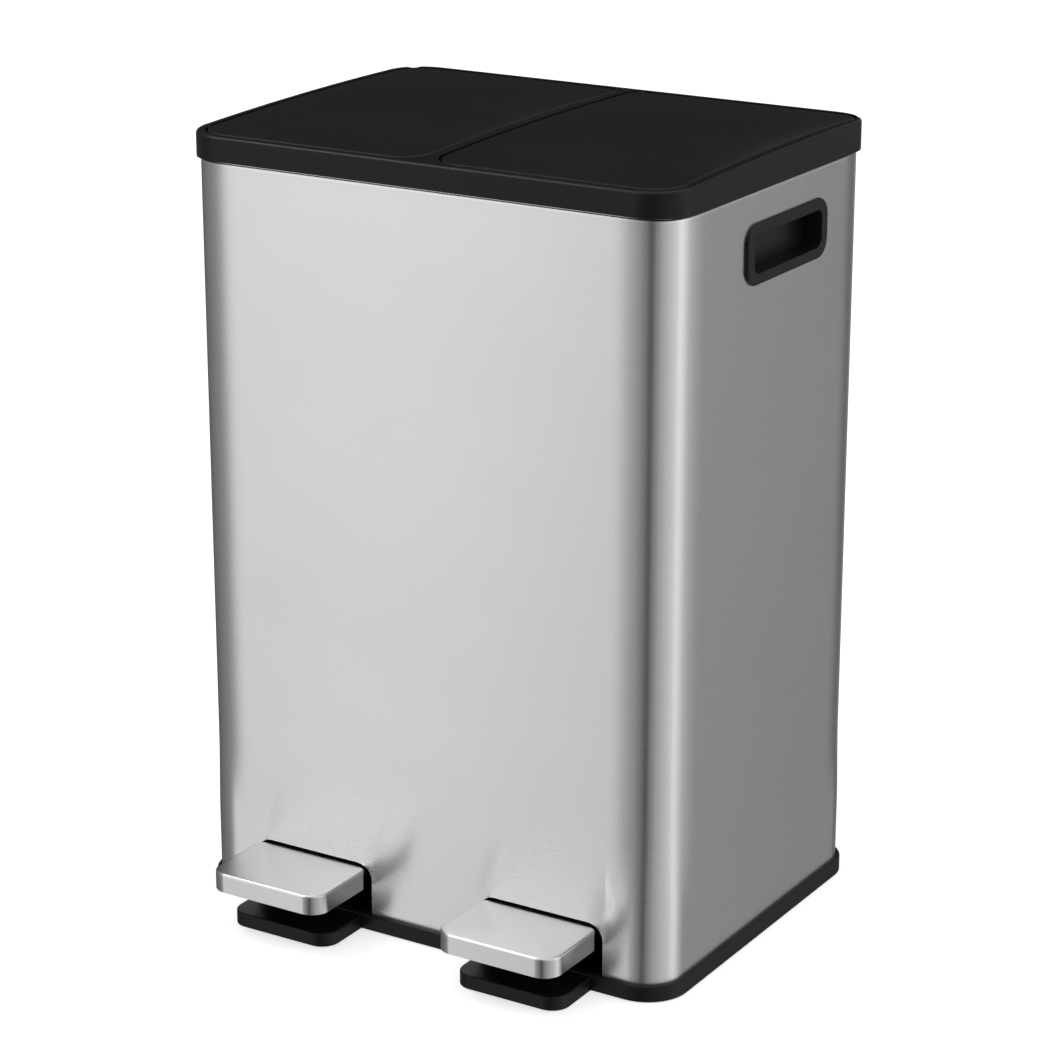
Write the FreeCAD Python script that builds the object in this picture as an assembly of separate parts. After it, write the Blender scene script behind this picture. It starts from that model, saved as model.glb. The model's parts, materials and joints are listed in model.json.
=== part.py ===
"""Double recycling bin with two pedals, two lids and two lift-out buckets.

Millimetres, +X to the right, +Y to the back, +Z up.  The pieces are drawn about the
middle of the steel body and moved back at the end, so that the origin lies on the
floor under the middle of the whole footprint, pedals included.  The right-hand half
is drawn; the left-hand pieces are its mirror image.
"""
import FreeCAD
import Part
import math
import os

Vec = FreeCAD.Vector
ACROSS = Vec(1, 0, 0)
BACK = Vec(0, 1, 0)
UP = Vec(0, 0, 1)

# ---------------------------------------------------------------- driving dimensions
body_width = 436.0          # steel wrap, outside
body_depth = 322.0
body_corner = 31.0
steel = 0.6
body_top = 626.0
seam_half = 7.0             # strip behind the joint at the back
fit_gap = 0.2               # between pieces that are pushed together

rim_overhang = 2.4          # moulded rim, proud of the steel
rim_bottom = 619.0
rim_border = 7.0            # rim surface seen outside a lid
bridge_width = 7.0          # rim surface seen between the lids
rim_edge_round = 2.6
rim_floor = 2.5             # thickness under the pockets
collar_wall = 2.2           # round each bucket opening
collar_corner = 20.0
pocket_floor = 626.0        # ledge under the lids
ledge_width = 9.0
deck_front = 110.0          # front edge of the deck behind the buckets

crown_top = 643.7           # highest line of the rim's crown
crown_middle = 60.0         # where along the depth that line runs
crown_radius = 4780.0

lid_gap = 1.8
lid_back_corner = 15.0
pocket_back_corner = 10.0   # tighter, so that an opening lid clears the pocket
lid_bottom = 629.6
lid_wall = 2.4
lid_pillow = 6.7            # rise of the pillow at the middle of a lid
lid_edge_round = 2.8
liner_bottom = 629.8
liner_wall = 2.0
liner_rib = 3.0             # height of the liner's kerb and ribs
rib_thickness = 1.6
lid_open = 77.0             # degrees

side_offset = 108.0         # middle of each lid, bucket and pedal from the centre line
hinge_inset = 7.0           # hinge axis from the lid's back edge
hinge_height = 638.0
hinge_spacing = 50.0        # hinge centres either side of the lid's middle
hinge_pin_radius = 1.5
knuckle_radius = 3.3
knuckle_width = 14.0
ear_radius = 3.3
ear_width = 4.0
notch_rise = 3.4            # top of the cover's notch, above the hinge axis
crank_radius = 23.7         # hinge axis to crank pin
crank_pin_radius = 2.0
lug_radius = 4.5
lug_width = 3.2

rod_thickness = 3.0
rod_width = 12.0
rod_eye_wall = 3.1          # steel round the slot of an eye
moving_gap = 0.4            # between pieces on different bodies

pivot_back = -75.0          # pedal pivot
pivot_height = 35.0
axle_radius = 4.0
bush_radius = 6.0
running_gap = 0.05
lever_pin_radius = 2.5
lever_sheet = 2.0
lever_half_width = 11.0
lever_tail_half = 6.0       # half the lever's height at its back end

base_width = 443.7
base_depth = 329.7
base_corner = 35.0
base_lip_top = 14.3
base_floor_low = 1.0
base_floor_top = 4.0
base_wall = 2.0
base_rib_top = 12.0
post_radius = 5.0
shelf_height = 58.5
shelf_thickness = 3.0
kerb_rise = 5.0             # kerbs that locate the buckets
kerb_gap = 2.0
groove_bottom = 8.8
foot_radius = 9.0
stop_low = 21.5             # rubber stop under each pedal lever
stop_top = 29.2

pedal_width = 107.5
pedal_front = -233.0
pedal_back = -161.8
pedal_top = 54.4
pedal_skirt = 16.5
pedal_sheet = 1.2
pedal_front_corner = 15.5
pedal_back_corner = 8.0
pedal_edge_round = 1.8
pedal_tail_width = 92.0
cutout_width = 113.0
cutout_top = 56.3
cutout_corner = 14.0
foot_plate_width = 97.0
foot_plate_front = -213.0
foot_plate_top = 12.4
foot_plate_corner = 15.0
foot_plate_wall = 2.6

bucket_back = -19.0         # middle of a bucket along the depth
bucket_flange_width = 189.0
bucket_flange_depth = 250.0
bucket_top = 614.5
bucket_bottom = 62.2
bucket_wall = 2.0
bucket_floor = 3.0
bucket_lip = 12.0           # flange width outside the walls, both sides together
bucket_draft = 5.5          # how much each side draws in towards the bottom
bucket_corner = 18.0        # at the top of the walls

grip_width = 132.0          # grip frame, outside
grip_height = 48.0
grip_corner = 15.0
grip_opening_width = 111.0
grip_opening_height = 29.5
grip_opening_corner = 7.0
grip_back = 16.5
grip_middle = 570.0
grip_proud = 3.0
grip_depth = 14.0           # recess behind the steel
grip_seat = 6.5             # overlap of the frame on the steel round its opening

damper_low = 330.0
damper_high = 450.0
damper_radius = 8.0
damper_wall = 1.5
damper_rod_radius = 2.5
damper_set_back = 19.5      # damper axis behind the rod
damper_arm_height = 289.0
damper_arm_half = 5.0
channel_half_width = 23.0

screw_radius = 1.5
past = 5.0                  # how far a cutter runs out of the piece that it cuts

# ---------------------------------------------------------------- worked-out places
rim_width = body_width + 2 * rim_overhang
rim_depth = body_depth + 2 * rim_overhang
rim_corner = body_corner + rim_overhang
pocket_width = rim_width / 2 - rim_border - bridge_width / 2
pocket_depth = rim_depth - 2 * rim_border
pocket_corner = rim_corner - rim_border
pocket_middle = bridge_width / 2 + pocket_width / 2
lid_width = pocket_width - 2 * lid_gap
lid_depth = pocket_depth - 2 * lid_gap
lid_corner = pocket_corner - lid_gap
liner_top = liner_bottom + liner_wall
hinge_back = lid_depth / 2 - hinge_inset
half_open = math.radians(lid_open / 2)
crank_back = hinge_back - crank_radius * math.cos(half_open)
crank_height = hinge_height - crank_radius * math.sin(half_open)
crank_sway = crank_radius * (1 - math.cos(half_open)) / 2
rod_back = crank_back - crank_sway
rod_travel = 2 * crank_radius * math.sin(half_open)
damper_back = rod_back + damper_set_back
lever_reach = rod_back - pivot_back
lever_half_swing = math.asin(rod_travel / 2 / lever_reach)
lever_sway = 2 * lever_reach * (1 - math.cos(lever_half_swing))
lever_pin_back = pivot_back + lever_reach * math.cos(lever_half_swing)
lever_pin_height = pivot_height - rod_travel / 2
inner_width = body_width - 2 * steel
inner_depth = body_depth - 2 * steel
inner_corner = body_corner - steel
upstand_width = inner_width - 2 * fit_gap
upstand_depth = inner_depth - 2 * fit_gap
upstand_corner = inner_corner - fit_gap
upstand_top = shelf_height - fit_gap
shelf_top = shelf_height + shelf_thickness
opening_front = -pocket_depth / 2 + ledge_width
opening_width = pocket_width - 2 * ledge_width + 1.0
pedal_bottom = pedal_top - pedal_skirt
lever_top = pedal_top - pedal_sheet - 2.4
bucket_width = bucket_flange_width - bucket_lip
bucket_depth = bucket_flange_depth - bucket_lip
origin_shift = (base_depth / 2 + pedal_front) / -2
window_half = knuckle_width / 2 + ear_width + 2 * moving_gap + 1
hinge_places = [side_offset - hinge_spacing, side_offset + hinge_spacing]


# ---------------------------------------------------------------- drawing helpers
def rounded_face(width, height, radii, centre, across=ACROSS, up=BACK):
    """Flat face with round corners, given from the low left corner anticlockwise."""
    if not isinstance(radii, (list, tuple)):
        radii = [radii] * 4
    signs = [(-1, -1), (1, -1), (1, 1), (-1, 1)]
    runs = [(up * -1, across), (across, up), (up, across * -1), (across * -1, up * -1)]
    starts, middles, ends = [], [], []
    for (sx, sy), (come, go), radius in zip(signs, runs, radii):
        corner = centre + across * (sx * width / 2) + up * (sy * height / 2)
        heart = corner - across * (sx * radius) - up * (sy * radius)
        outward = (across * sx + up * sy) * math.sqrt(0.5)
        starts.append(corner - come * radius)
        middles.append(heart + outward * radius)
        ends.append(corner + go * radius)
    edges = []
    for i, radius in enumerate(radii):
        if radius > 0:
            edges.append(Part.Arc(starts[i], middles[i], ends[i]).toShape())
        edges.append(Part.LineSegment(ends[i], starts[(i + 1) % 4]).toShape())
    return Part.Face(Part.Wire(edges))


def plate(width, depth, radii, low, high, x=0.0, y=0.0):
    """Upright prism with a rounded outline."""
    return rounded_face(width, depth, radii, Vec(x, y, low)).extrude(UP * (high - low))


def ring(width, depth, radius, wall, low, high, x=0.0, y=0.0):
    """Upright wall of even thickness that follows a rounded outline."""
    outside = plate(width, depth, radius, low, high, x, y)
    inside = plate(width - 2 * wall, depth - 2 * wall, radius - wall, low, high, x, y)
    return outside.cut(inside)


def block(x_range, y_range, z_range):
    """Straight-sided block between three pairs of limits."""
    size = [pair[1] - pair[0] for pair in (x_range, y_range, z_range)]
    return Part.makeBox(*size, Vec(x_range[0], y_range[0], z_range[0]))


def bar_x(radius, x_low, x_high, y, z):
    """Round bar along X."""
    return Part.makeCylinder(radius, x_high - x_low, Vec(x_low, y, z), ACROSS)


def post(radius, low, high, x, y):
    """Round upright post."""
    return Part.makeCylinder(radius, high - low, Vec(x, y, low))


def side_prism(points, x_low, x_high):
    """Side view outline, as (back, up) corner points, pushed through from one X to another."""
    corners = [Vec(x_low, y, z) for y, z in points]
    return Part.Face(Part.makePolygon(corners + corners[:1])).extrude(ACROSS * (x_high - x_low))


def front_prism(points, y_low, y_high):
    """Front view outline, as (across, up) corner points, pushed through from one Y to another."""
    corners = [Vec(x, y_low, z) for x, z in points]
    return Part.Face(Part.makePolygon(corners + corners[:1])).extrude(BACK * (y_high - y_low))


def joined(first, *others):
    """One solid from touching pieces."""
    return first.multiFuse(list(others)).removeSplitter()


def without(shape, *others):
    """The shape less every other piece given."""
    for other in others:
        shape = shape.cut(other)
    return shape


def rounded_edges(shape, radius, test):
    """Round the edges whose bounding box passes the test."""
    return shape.makeFillet(radius, [edge for edge in shape.Edges if test(edge.BoundBox)])


def mirrored(shape):
    """The left-hand twin of a right-hand piece."""
    return shape.mirror(Vec(0, 0, 0), ACROSS)


def both_sides(*shapes):
    """Separate right-hand solids with their left-hand twins, as one group."""
    return Part.makeCompound(list(shapes) + [mirrored(shape) for shape in shapes])


def on_side(side, middle, near, far):
    """Low and high X of a band between two distances from a middle, on one side of it."""
    return sorted((middle + side * near, middle + side * far))


def pan_screw(x, y, head_z, shank, head_radius, head=1.6, down=True):
    """Screw with a low tapered head; the shank runs down from the head, or up."""
    way = UP * (-1 if down else 1)
    crown = Part.makeCone(head_radius, head_radius * 0.7, head, Vec(x, y, head_z), way * -1)
    return joined(crown, Part.makeCylinder(screw_radius, shank, Vec(x, y, head_z), way))


# ---------------------------------------------------------------- crown of the top
def crown_height(y):
    """Height of the rim's top along the depth."""
    return crown_top - (y - crown_middle) ** 2 / (2 * crown_radius)


def above_crown():
    """Everything above the rim's gently arched top."""
    half_width, reach, ceiling = rim_width, rim_depth, crown_top + 40
    ends = [Vec(-half_width, y, crown_height(y)) for y in (-reach, 0, reach)]
    over_front, over_back = Vec(-half_width, -reach, ceiling), Vec(-half_width, reach, ceiling)
    outline = [
        Part.Arc(*ends).toShape(),
        Part.LineSegment(ends[2], over_back).toShape(),
        Part.LineSegment(over_back, over_front).toShape(),
        Part.LineSegment(over_front, ends[0]).toShape(),
    ]
    return Part.Face(Part.Wire(outline)).extrude(ACROSS * (2 * half_width))


def lid_outline(shrink, low, high):
    """Upright prism with a lid's outline, drawn in on all sides by shrink."""
    radii = [lid_corner - shrink] * 2 + [lid_back_corner - shrink] * 2
    return plate(lid_width - 2 * shrink, lid_depth - 2 * shrink, radii, low, high, pocket_middle)


def pillow_height(x, y, drop):
    """Height of a lid's doubly curved top, lowered by drop."""
    across = (x - pocket_middle) / (lid_width / 2)
    along = y / (lid_depth / 2)
    pillow = lid_pillow * (1 - across ** 2) * (1 - along ** 2)
    return crown_height(y) + pillow - drop


def above_pillow(drop):
    """Everything above a lid's top surface, lowered by drop."""
    steps, margin = 8, 6.0
    columns = []
    for i in range(steps + 1):
        x = pocket_middle + (lid_width / 2 + margin) * (2 * i / steps - 1)
        rows = []
        for j in range(steps + 1):
            y = (lid_depth / 2 + margin) * (2 * j / steps - 1)
            rows.append(Vec(x, y, pillow_height(x, y, drop)))
        columns.append(rows)
    surface = Part.BSplineSurface()
    surface.interpolate(columns)
    return surface.toShape().extrude(UP * 40)


# ---------------------------------------------------------------- steel body
def make_body_shell():
    """Wrapped sheet with two pedal cut-outs, two grip openings and a seam at the back."""
    wrap = ring(body_width, body_depth, body_corner, steel, groove_bottom, body_top)
    seam_strip = block((-seam_half, seam_half), (inner_depth / 2 - steel, inner_depth / 2),
                       (shelf_top + 1, rim_bottom - past))
    wrap = joined(wrap, seam_strip)
    height = cutout_top + 20
    radii = [0, 0, cutout_corner, cutout_corner]
    for x in (-side_offset, side_offset):
        centre = Vec(x, -body_depth / 2 - past, cutout_top - height / 2)
        cutout = rounded_face(cutout_width, height, radii, centre, ACROSS, UP)
        wrap = wrap.cut(cutout.extrude(BACK * (2 * past)))
    centre = Vec(-body_width, grip_back, grip_middle)
    opening = rounded_face(grip_width - 2 * grip_seat - 1, grip_height - 2 * grip_seat + 1,
                           grip_opening_corner + 2, centre, BACK, UP)
    return wrap.cut(opening.extrude(ACROSS * (2 * body_width)))


# ---------------------------------------------------------------- base
def foot_plate(x):
    """Foot plate that runs forward under a pedal, hollow below, with a web in the middle."""
    web_half = 12.0
    back = -base_depth / 2 + 1.5
    depth, middle = back - foot_plate_front, (back + foot_plate_front) / 2
    radii = [foot_plate_corner, foot_plate_corner, 0, 0]
    body = plate(foot_plate_width, depth, radii, base_floor_low, foot_plate_top, x, middle)
    top_z = foot_plate_top - 0.1
    body = rounded_edges(body, 1.4, lambda box: box.ZMin > top_z and box.YMin < back - 1)
    width = foot_plate_width / 2 - foot_plate_wall - web_half
    for side in (-1, 1):
        hollow = plate(width, depth - 14, 6, base_floor_low, foot_plate_top - foot_plate_wall,
                       x + side * (web_half + width / 2), middle - 2)
        body = body.cut(hollow)
    return body


def foot_places():
    """Centres of the rubber feet: four corners and one under each foot plate."""
    corners = [(x, y) for x in (-188, 188) for y in (-132, 132)]
    return corners + [(x, foot_plate_front + 15) for x in (-side_offset, side_offset)]


def shelf_screw_places():
    """Posts that carry the shelf, clear of the pedals and the rods."""
    middle = [(0, -138), (0, 138)]
    sides = [(x, y) for x in (-200, 200) for y in (-100, 138)]
    return middle + sides


def make_base_tray():
    """Moulded base: floor, outer lip, groove for the steel, inner wall, foot plates."""
    tray = plate(base_width, base_depth, base_corner, base_floor_low, base_lip_top)
    tray = rounded_edges(tray, 1.6, lambda box: box.ZMin > base_lip_top - 0.1)
    seat = plate(body_width + 2 * fit_gap, body_depth + 2 * fit_gap, body_corner + fit_gap,
                 groove_bottom, base_lip_top)
    well = plate(upstand_width - 2 * base_wall, upstand_depth - 2 * base_wall,
                 upstand_corner - base_wall, base_floor_top, base_lip_top)
    tray = without(tray, seat, well)
    pieces = [ring(upstand_width, upstand_depth, upstand_corner, base_wall, base_floor_low + 1,
                   upstand_top)]
    reach_x, reach_y = upstand_width / 2 - 1, upstand_depth / 2 - 1
    rooted = base_floor_top - 1
    for x in (-156, -60, 0, 60, 156):
        pieces.append(block((x - 1, x + 1), (-reach_y, reach_y), (rooted, base_rib_top)))
    for y in (-104, 8, 92):
        pieces.append(block((-reach_x, reach_x), (y - 1, y + 1), (rooted, base_rib_top)))
    for x, y in shelf_screw_places():
        pieces.append(post(post_radius, rooted, upstand_top, x, y))
    for x in (-side_offset, side_offset):
        pieces.append(foot_plate(x))
        pieces.append(block((x - 14, x + 14), (-136, -124), (rooted, stop_low)))
    tray = joined(tray, *pieces)
    gate_half = cutout_width / 2 + 0.5
    for x in (-side_offset, side_offset):
        gate = block((x - gate_half, x + gate_half), (-body_depth / 2 - 1, -body_depth / 2 + 6),
                     (base_lip_top, shelf_height + past))
        tray = tray.cut(gate)
    drills = [post(screw_radius, shelf_height - 22, shelf_height, x, y)
              for x, y in shelf_screw_places()]
    sockets = [post(foot_radius, 0, 2.2, x, y) for x, y in foot_places()]
    bracket_holes = [post(screw_radius, base_floor_low, base_floor_top, side * x, y)
                     for side in (-1, 1) for x, y in bracket_screw_places()]
    return without(tray, *drills, *sockets, *bracket_holes)


def make_rubber_feet():
    """Six round pads pressed into the base."""
    sole, inside = 0.8, 2.2
    pads = []
    for x, y in foot_places():
        pad = Part.makeCone(foot_radius - sole, foot_radius, sole, Vec(x, y, 0))
        pads.append(joined(pad, post(foot_radius, sole, inside, x, y)))
    return Part.makeCompound(pads)


def make_pedal_stops():
    """Rubber blocks on the base posts, where the levers come to rest."""
    return both_sides(plate(28, 12, 2, stop_low, stop_top, side_offset, -130))


def make_shelf():
    """False floor over the levers, with a kerb round each bucket's foot."""
    shelf = plate(inner_width - 1, inner_depth - 1, inner_corner - 0.5, shelf_height, shelf_top)
    kerb_wall = 2.0
    around = 2 * (kerb_gap + kerb_wall - bucket_draft)
    kerbs = [ring(bucket_width + around, bucket_depth + around, bucket_corner - 1, kerb_wall,
                  shelf_height + 1, shelf_top + kerb_rise, x, bucket_back)
             for x in (-side_offset, side_offset)]
    shelf = joined(shelf, *kerbs)
    over = shelf_top + kerb_rise + 1
    slots = [plate(rod_thickness + past, rod_width + 2 * past, 2, shelf_height - 1, over, x, rod_back)
             for x in (-side_offset, side_offset)]
    holes = [post(screw_radius + moving_gap, shelf_height - 1, over, x, y)
             for x, y in shelf_screw_places()]
    return without(shelf, *slots, *holes)


def make_shelf_screws():
    """Screws that hold the shelf to its posts."""
    return Part.makeCompound([pan_screw(x, y, shelf_top, 16, 3.6) for x, y in shelf_screw_places()])


# ---------------------------------------------------------------- top rim
def rim_hollow(opening_depth, opening_middle):
    """Space under the rim's pockets, with ribs and the collars of the openings left standing."""
    floor = pocket_floor - rim_floor
    inset = past / 2
    hollow = plate(inner_width - past, inner_depth - past, inner_corner - inset, rim_bottom - 1, floor)
    for side in (-1, 1):
        collar = plate(opening_width + 2 * collar_wall, opening_depth + 2 * collar_wall, collar_corner,
                       rim_bottom - 1, floor, side * pocket_middle, opening_middle)
        hollow = hollow.cut(collar)
    for x in (-200, -148, -68, 68, 148, 200):
        rib = block((x - 1, x + 1), (deck_front, inner_depth / 2), (rim_bottom, floor))
        hollow = hollow.cut(rib)
    return hollow


def hinge_ears():
    """Ears of the right-hand lid's two hinges, bored for the pins."""
    ears = []
    for middle in hinge_places:
        for side in (-1, 1):
            near = knuckle_width / 2 + moving_gap
            low, high = on_side(side, middle, near, near + ear_width)
            ear = joined(bar_x(ear_radius, low, high, hinge_back, hinge_height),
                         block((low, high), (hinge_back - ear_radius, hinge_back + ear_radius),
                               (pocket_floor - 1, hinge_height)))
            ears.append(ear.cut(bar_x(hinge_pin_radius, low, high, hinge_back, hinge_height)))
    return ears


def make_top_rim():
    """Moulded frame: skirt over the steel, two lid pockets, bucket openings, rear deck."""
    rim = plate(rim_width, rim_depth, rim_corner, rim_bottom, crown_top + past)
    rim = rim.cut(above_crown())
    edge_low = crown_height(-rim_depth / 2) - 1
    rim = rounded_edges(rim, rim_edge_round, lambda box: box.ZMin > edge_low)
    opening_depth = deck_front - opening_front
    opening_middle = (deck_front + opening_front) / 2
    radii = [pocket_corner] * 2 + [pocket_back_corner] * 2
    for side in (-1, 1):
        x = side * pocket_middle
        rim = without(
            rim,
            plate(pocket_width, pocket_depth, radii, pocket_floor, crown_top + 2 * past, x),
            plate(opening_width, opening_depth, collar_corner - collar_wall + 0.2, rim_bottom - 1,
                  pocket_floor + 1, x, opening_middle),
            plate(15, 20.5, 3, rim_bottom - 1, pocket_floor + 1, side * side_offset, rod_back))
    groove = ring(body_width + 2 * fit_gap, body_depth + 2 * fit_gap, body_corner + fit_gap,
                  steel + 2 * fit_gap, rim_bottom - 1, body_top + 1)
    rim = without(rim, rim_hollow(opening_depth, opening_middle), groove)
    ears = hinge_ears()
    return joined(rim, *ears, *[mirrored(ear) for ear in ears])


def make_hinge_pins():
    """Two steel pins of one lid, pressed into the rim's ears."""
    half = knuckle_width / 2 + moving_gap + ear_width
    pins = [bar_x(hinge_pin_radius, middle - half, middle + half, hinge_back, hinge_height)
            for middle in hinge_places]
    return Part.makeCompound(pins)


def make_lid_bumpers():
    """Rubber buttons on the ledges that a closed lid comes down on."""
    radius, post_top, tip = 2.6, pocket_floor + 2.4, 0.7
    y = -pocket_depth / 2 + ledge_width / 2 + 0.8
    pads = []
    for x in (pocket_middle - 60, pocket_middle + 60):
        pads.append(joined(post(radius, pocket_floor, post_top, x, y),
                           Part.makeCone(radius, radius - 0.6, tip, Vec(x, y, post_top))))
    return both_sides(*pads)


# ---------------------------------------------------------------- lids
def hinge_windows(low, high):
    """Blocks that clear the rim's ears at both hinges."""
    front = hinge_back - 8
    return [block((middle - window_half, middle + window_half), (front, lid_depth), (low, high))
            for middle in hinge_places]


def lid_screw_places():
    """Screws from the liner up into the cover."""
    return [(x, y) for x in (pocket_middle - 82, pocket_middle, pocket_middle + 82)
            for y in (-112, 62)]


def make_lid_cover():
    """Crowned outer panel with a turned-down skirt and screw bosses inside."""
    ceiling = crown_top + 4 * past
    outside = lid_outline(0, lid_bottom, ceiling).cut(above_pillow(fit_gap))
    edge_low = crown_height(-lid_depth / 2) - 1
    outside = rounded_edges(outside, lid_edge_round, lambda box: box.ZMin > edge_low)
    inside = lid_outline(lid_wall, lid_bottom - 1, ceiling)
    inside = inside.cut(above_pillow(fit_gap + lid_wall))
    cover = outside.cut(inside)
    bosses = []
    for x, y in lid_screw_places():
        boss = post(4, liner_top, pillow_height(x, y, fit_gap + lid_wall) + 1, x, y)
        bosses.append(boss.cut(post(screw_radius, liner_top, liner_top + 7, x, y)))
    cover = joined(cover, *bosses)
    notches = hinge_windows(lid_bottom - 1, hinge_height + notch_rise)
    swing = [bar_x(ear_radius + moving_gap, middle - window_half, middle + window_half,
                   hinge_back, hinge_height) for middle in hinge_places]
    return without(cover, *notches, *swing)


def liner_knuckles():
    """Hinge knuckles of the right-hand liner, with their webs."""
    knuckles = []
    for middle in hinge_places:
        low, high = middle - knuckle_width / 2, middle + knuckle_width / 2
        web = side_prism([(hinge_back - 10, liner_bottom), (hinge_back - 10, liner_top),
                          (hinge_back, hinge_height + 1), (hinge_back + 1.5, hinge_height - 3),
                          (hinge_back - 3, liner_bottom)], low, high)
        knuckles.append(joined(bar_x(knuckle_radius, low, high, hinge_back, hinge_height), web))
    return knuckles


def crank_lugs(slot_half):
    """Two lugs below the liner that hold the crank pin, either side of the rod."""
    lugs = []
    neck = lug_radius - 0.4
    for side in (-1, 1):
        low, high = on_side(side, side_offset, slot_half, slot_half + lug_width)
        web = side_prism([(crank_back - 10, liner_bottom + 1), (crank_back + 9, liner_bottom + 1),
                          (crank_back + neck, crank_height - 1.5),
                          (crank_back - neck, crank_height - 1.5)], low, high)
        lugs.append(joined(bar_x(lug_radius, low, high, crank_back, crank_height), web))
    return lugs


def make_lid_liner():
    """Inner panel: plate with a low kerb and ribs, two knuckles and the crank lugs."""
    shrink = lid_wall + fit_gap
    half_width, half_depth = lid_width / 2 - shrink, lid_depth / 2 - shrink
    kerb_top, half_rib = liner_top + liner_rib, rib_thickness / 2
    liner = lid_outline(shrink, liner_bottom, liner_top)
    pieces = [lid_outline(shrink, liner_bottom, kerb_top).cut(
        lid_outline(shrink + rib_thickness, liner_bottom, kerb_top + 1))]
    rooted = liner_top - 0.5
    for x in (pocket_middle - 41, pocket_middle + 41):
        pieces.append(block((x - half_rib, x + half_rib), (-half_depth + 1, 100), (rooted, kerb_top)))
    for y in (-80, -25, 30, 100):
        pieces.append(block((pocket_middle - half_width + 1, pocket_middle + half_width - 1),
                            (y - half_rib, y + half_rib), (rooted, kerb_top)))
    liner = joined(liner, *pieces)
    slot_half = rod_thickness / 2 + moving_gap
    rod_slot = block((side_offset - slot_half, side_offset + slot_half),
                     (crank_back - 15, crank_back + 15), (liner_bottom - 1, kerb_top + 1))
    liner = without(liner, *hinge_windows(liner_bottom - 1, kerb_top + 1), rod_slot)
    liner = joined(liner, *liner_knuckles(), *crank_lugs(slot_half))
    long_bore = bar_x(hinge_pin_radius + running_gap, 0, body_width / 2, hinge_back, hinge_height)
    pin_hole = bar_x(crank_pin_radius, side_offset - 8, side_offset + 8, crank_back, crank_height)
    holes = [post(screw_radius, liner_bottom - 1, kerb_top + 1, x, y) for x, y in lid_screw_places()]
    return without(liner, long_bore, pin_hole, *holes)


def make_crank_pin():
    """Steel pin between the liner's lugs."""
    half = rod_thickness / 2 + moving_gap + lug_width
    return bar_x(crank_pin_radius, side_offset - half, side_offset + half, crank_back, crank_height)


def make_lid_screws():
    """Screws that hold the liner to the cover."""
    return Part.makeCompound([pan_screw(x, y, liner_bottom, 8, 2.8, 1.2, down=False)
                              for x, y in lid_screw_places()])


# ---------------------------------------------------------------- rods and dampers
def slotted_eye(slot_width, slot_height, extra_height, corner, height):
    """Outline of a rod's eye and the slot through it, as two flat faces at one height."""
    centre = Vec(side_offset - rod_thickness / 2, rod_back, height)
    eye = rounded_face(slot_width + 2 * rod_eye_wall, slot_height + 2 * rod_eye_wall + extra_height,
                       corner, centre, BACK, UP)
    slot = rounded_face(slot_width, slot_height, slot_height / 2 - 0.1, centre, BACK, UP)
    return eye, slot


def make_lift_rod():
    """Flat steel rod with a slotted eye at each end for the crank and lever pins."""
    head, head_slot = slotted_eye(2 * (crank_sway + crank_pin_radius + moving_gap),
                                  2 * (crank_pin_radius + 2 * moving_gap), 0.2, 4, crank_height)
    foot, foot_slot = slotted_eye(2 * (lever_pin_radius + moving_gap + lever_sway) + 1.8,
                                  2 * (lever_pin_radius + moving_gap), 0, 5, lever_pin_height)
    middle = Vec(side_offset - rod_thickness / 2, rod_back, (crank_height + lever_pin_height) / 2)
    shaft = rounded_face(rod_width, crank_height - lever_pin_height, 0, middle, BACK, UP)
    through = ACROSS * rod_thickness
    bar = joined(*[face.extrude(through) for face in (head, foot, shaft)])
    return without(bar, head_slot.extrude(through), foot_slot.extrude(through))


def make_rod_channel():
    """Moulded channel against the back wall that guides the rod and holds the damper."""
    front, back = deck_front + 1.5, inner_depth / 2 - 2
    middle, depth = (front + back) / 2, back - front
    low, high, wall = shelf_top, rim_bottom - 0.5, 2.0
    width = 2 * channel_half_width
    outline = plate(width, depth, [6, 6, 0, 0], low, high, side_offset, middle)
    core = plate(width - 2 * wall, depth, [4, 4, 0, 0], low, high, side_offset, middle + wall)
    channel = outline.cut(core)
    guides = []
    for z in (120, 240, damper_low + 10, damper_high - 10, 560):
        guides.append(plate(width - 3, depth - 2, 0, z, z + 2.5, side_offset, middle))
    channel = joined(channel, *guides)
    rod_way = plate(rod_thickness + 2 * moving_gap, rod_width + 2 * moving_gap, 0, low - 1,
                    high + 1, side_offset, rod_back)
    piston_way = post(damper_rod_radius + 2, low - 1, damper_low, side_offset, damper_back)
    damper_seat = post(damper_radius, damper_low, high, side_offset, damper_back)
    return without(channel, rod_way, piston_way, damper_seat)


def make_damper_tube():
    """Closed tube of the soft-close damper, open at its lower end for the piston rod."""
    cap = 3.0
    tube = post(damper_radius, damper_low, damper_high, side_offset, damper_back)
    bore = post(damper_radius - damper_wall, damper_low + cap, damper_high - cap, side_offset,
                damper_back)
    mouth = post(damper_rod_radius + moving_gap, damper_low - 1, damper_low + cap + 1, side_offset,
                 damper_back)
    return without(tube, bore, mouth)


def make_damper_piston():
    """Piston and piston rod, carried by the clamp arm on the lift rod."""
    stem = post(damper_rod_radius, damper_arm_height - 3, damper_low + 26, side_offset, damper_back)
    head = post(damper_radius - damper_wall - moving_gap, damper_low + 20, damper_low + 30,
                side_offset, damper_back)
    return joined(stem, head)


def make_damper_arm():
    """Clamp arm from the lift rod back to the piston rod."""
    half = 6.0
    front = rod_back - rod_width / 2 - 3
    low, high = damper_arm_height - damper_arm_half, damper_arm_height + damper_arm_half
    arm = joined(block((side_offset - half, side_offset + half), (front, damper_back), (low, high)),
                 post(half, low, high, side_offset, damper_back))
    rod_slot = block((side_offset - rod_thickness / 2, side_offset + rod_thickness / 2),
                     (rod_back - rod_width / 2, rod_back + rod_width / 2), (low, high))
    stem_seat = post(damper_rod_radius, damper_arm_height - 3, high, side_offset, damper_back)
    return without(arm, rod_slot, stem_seat)


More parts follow.
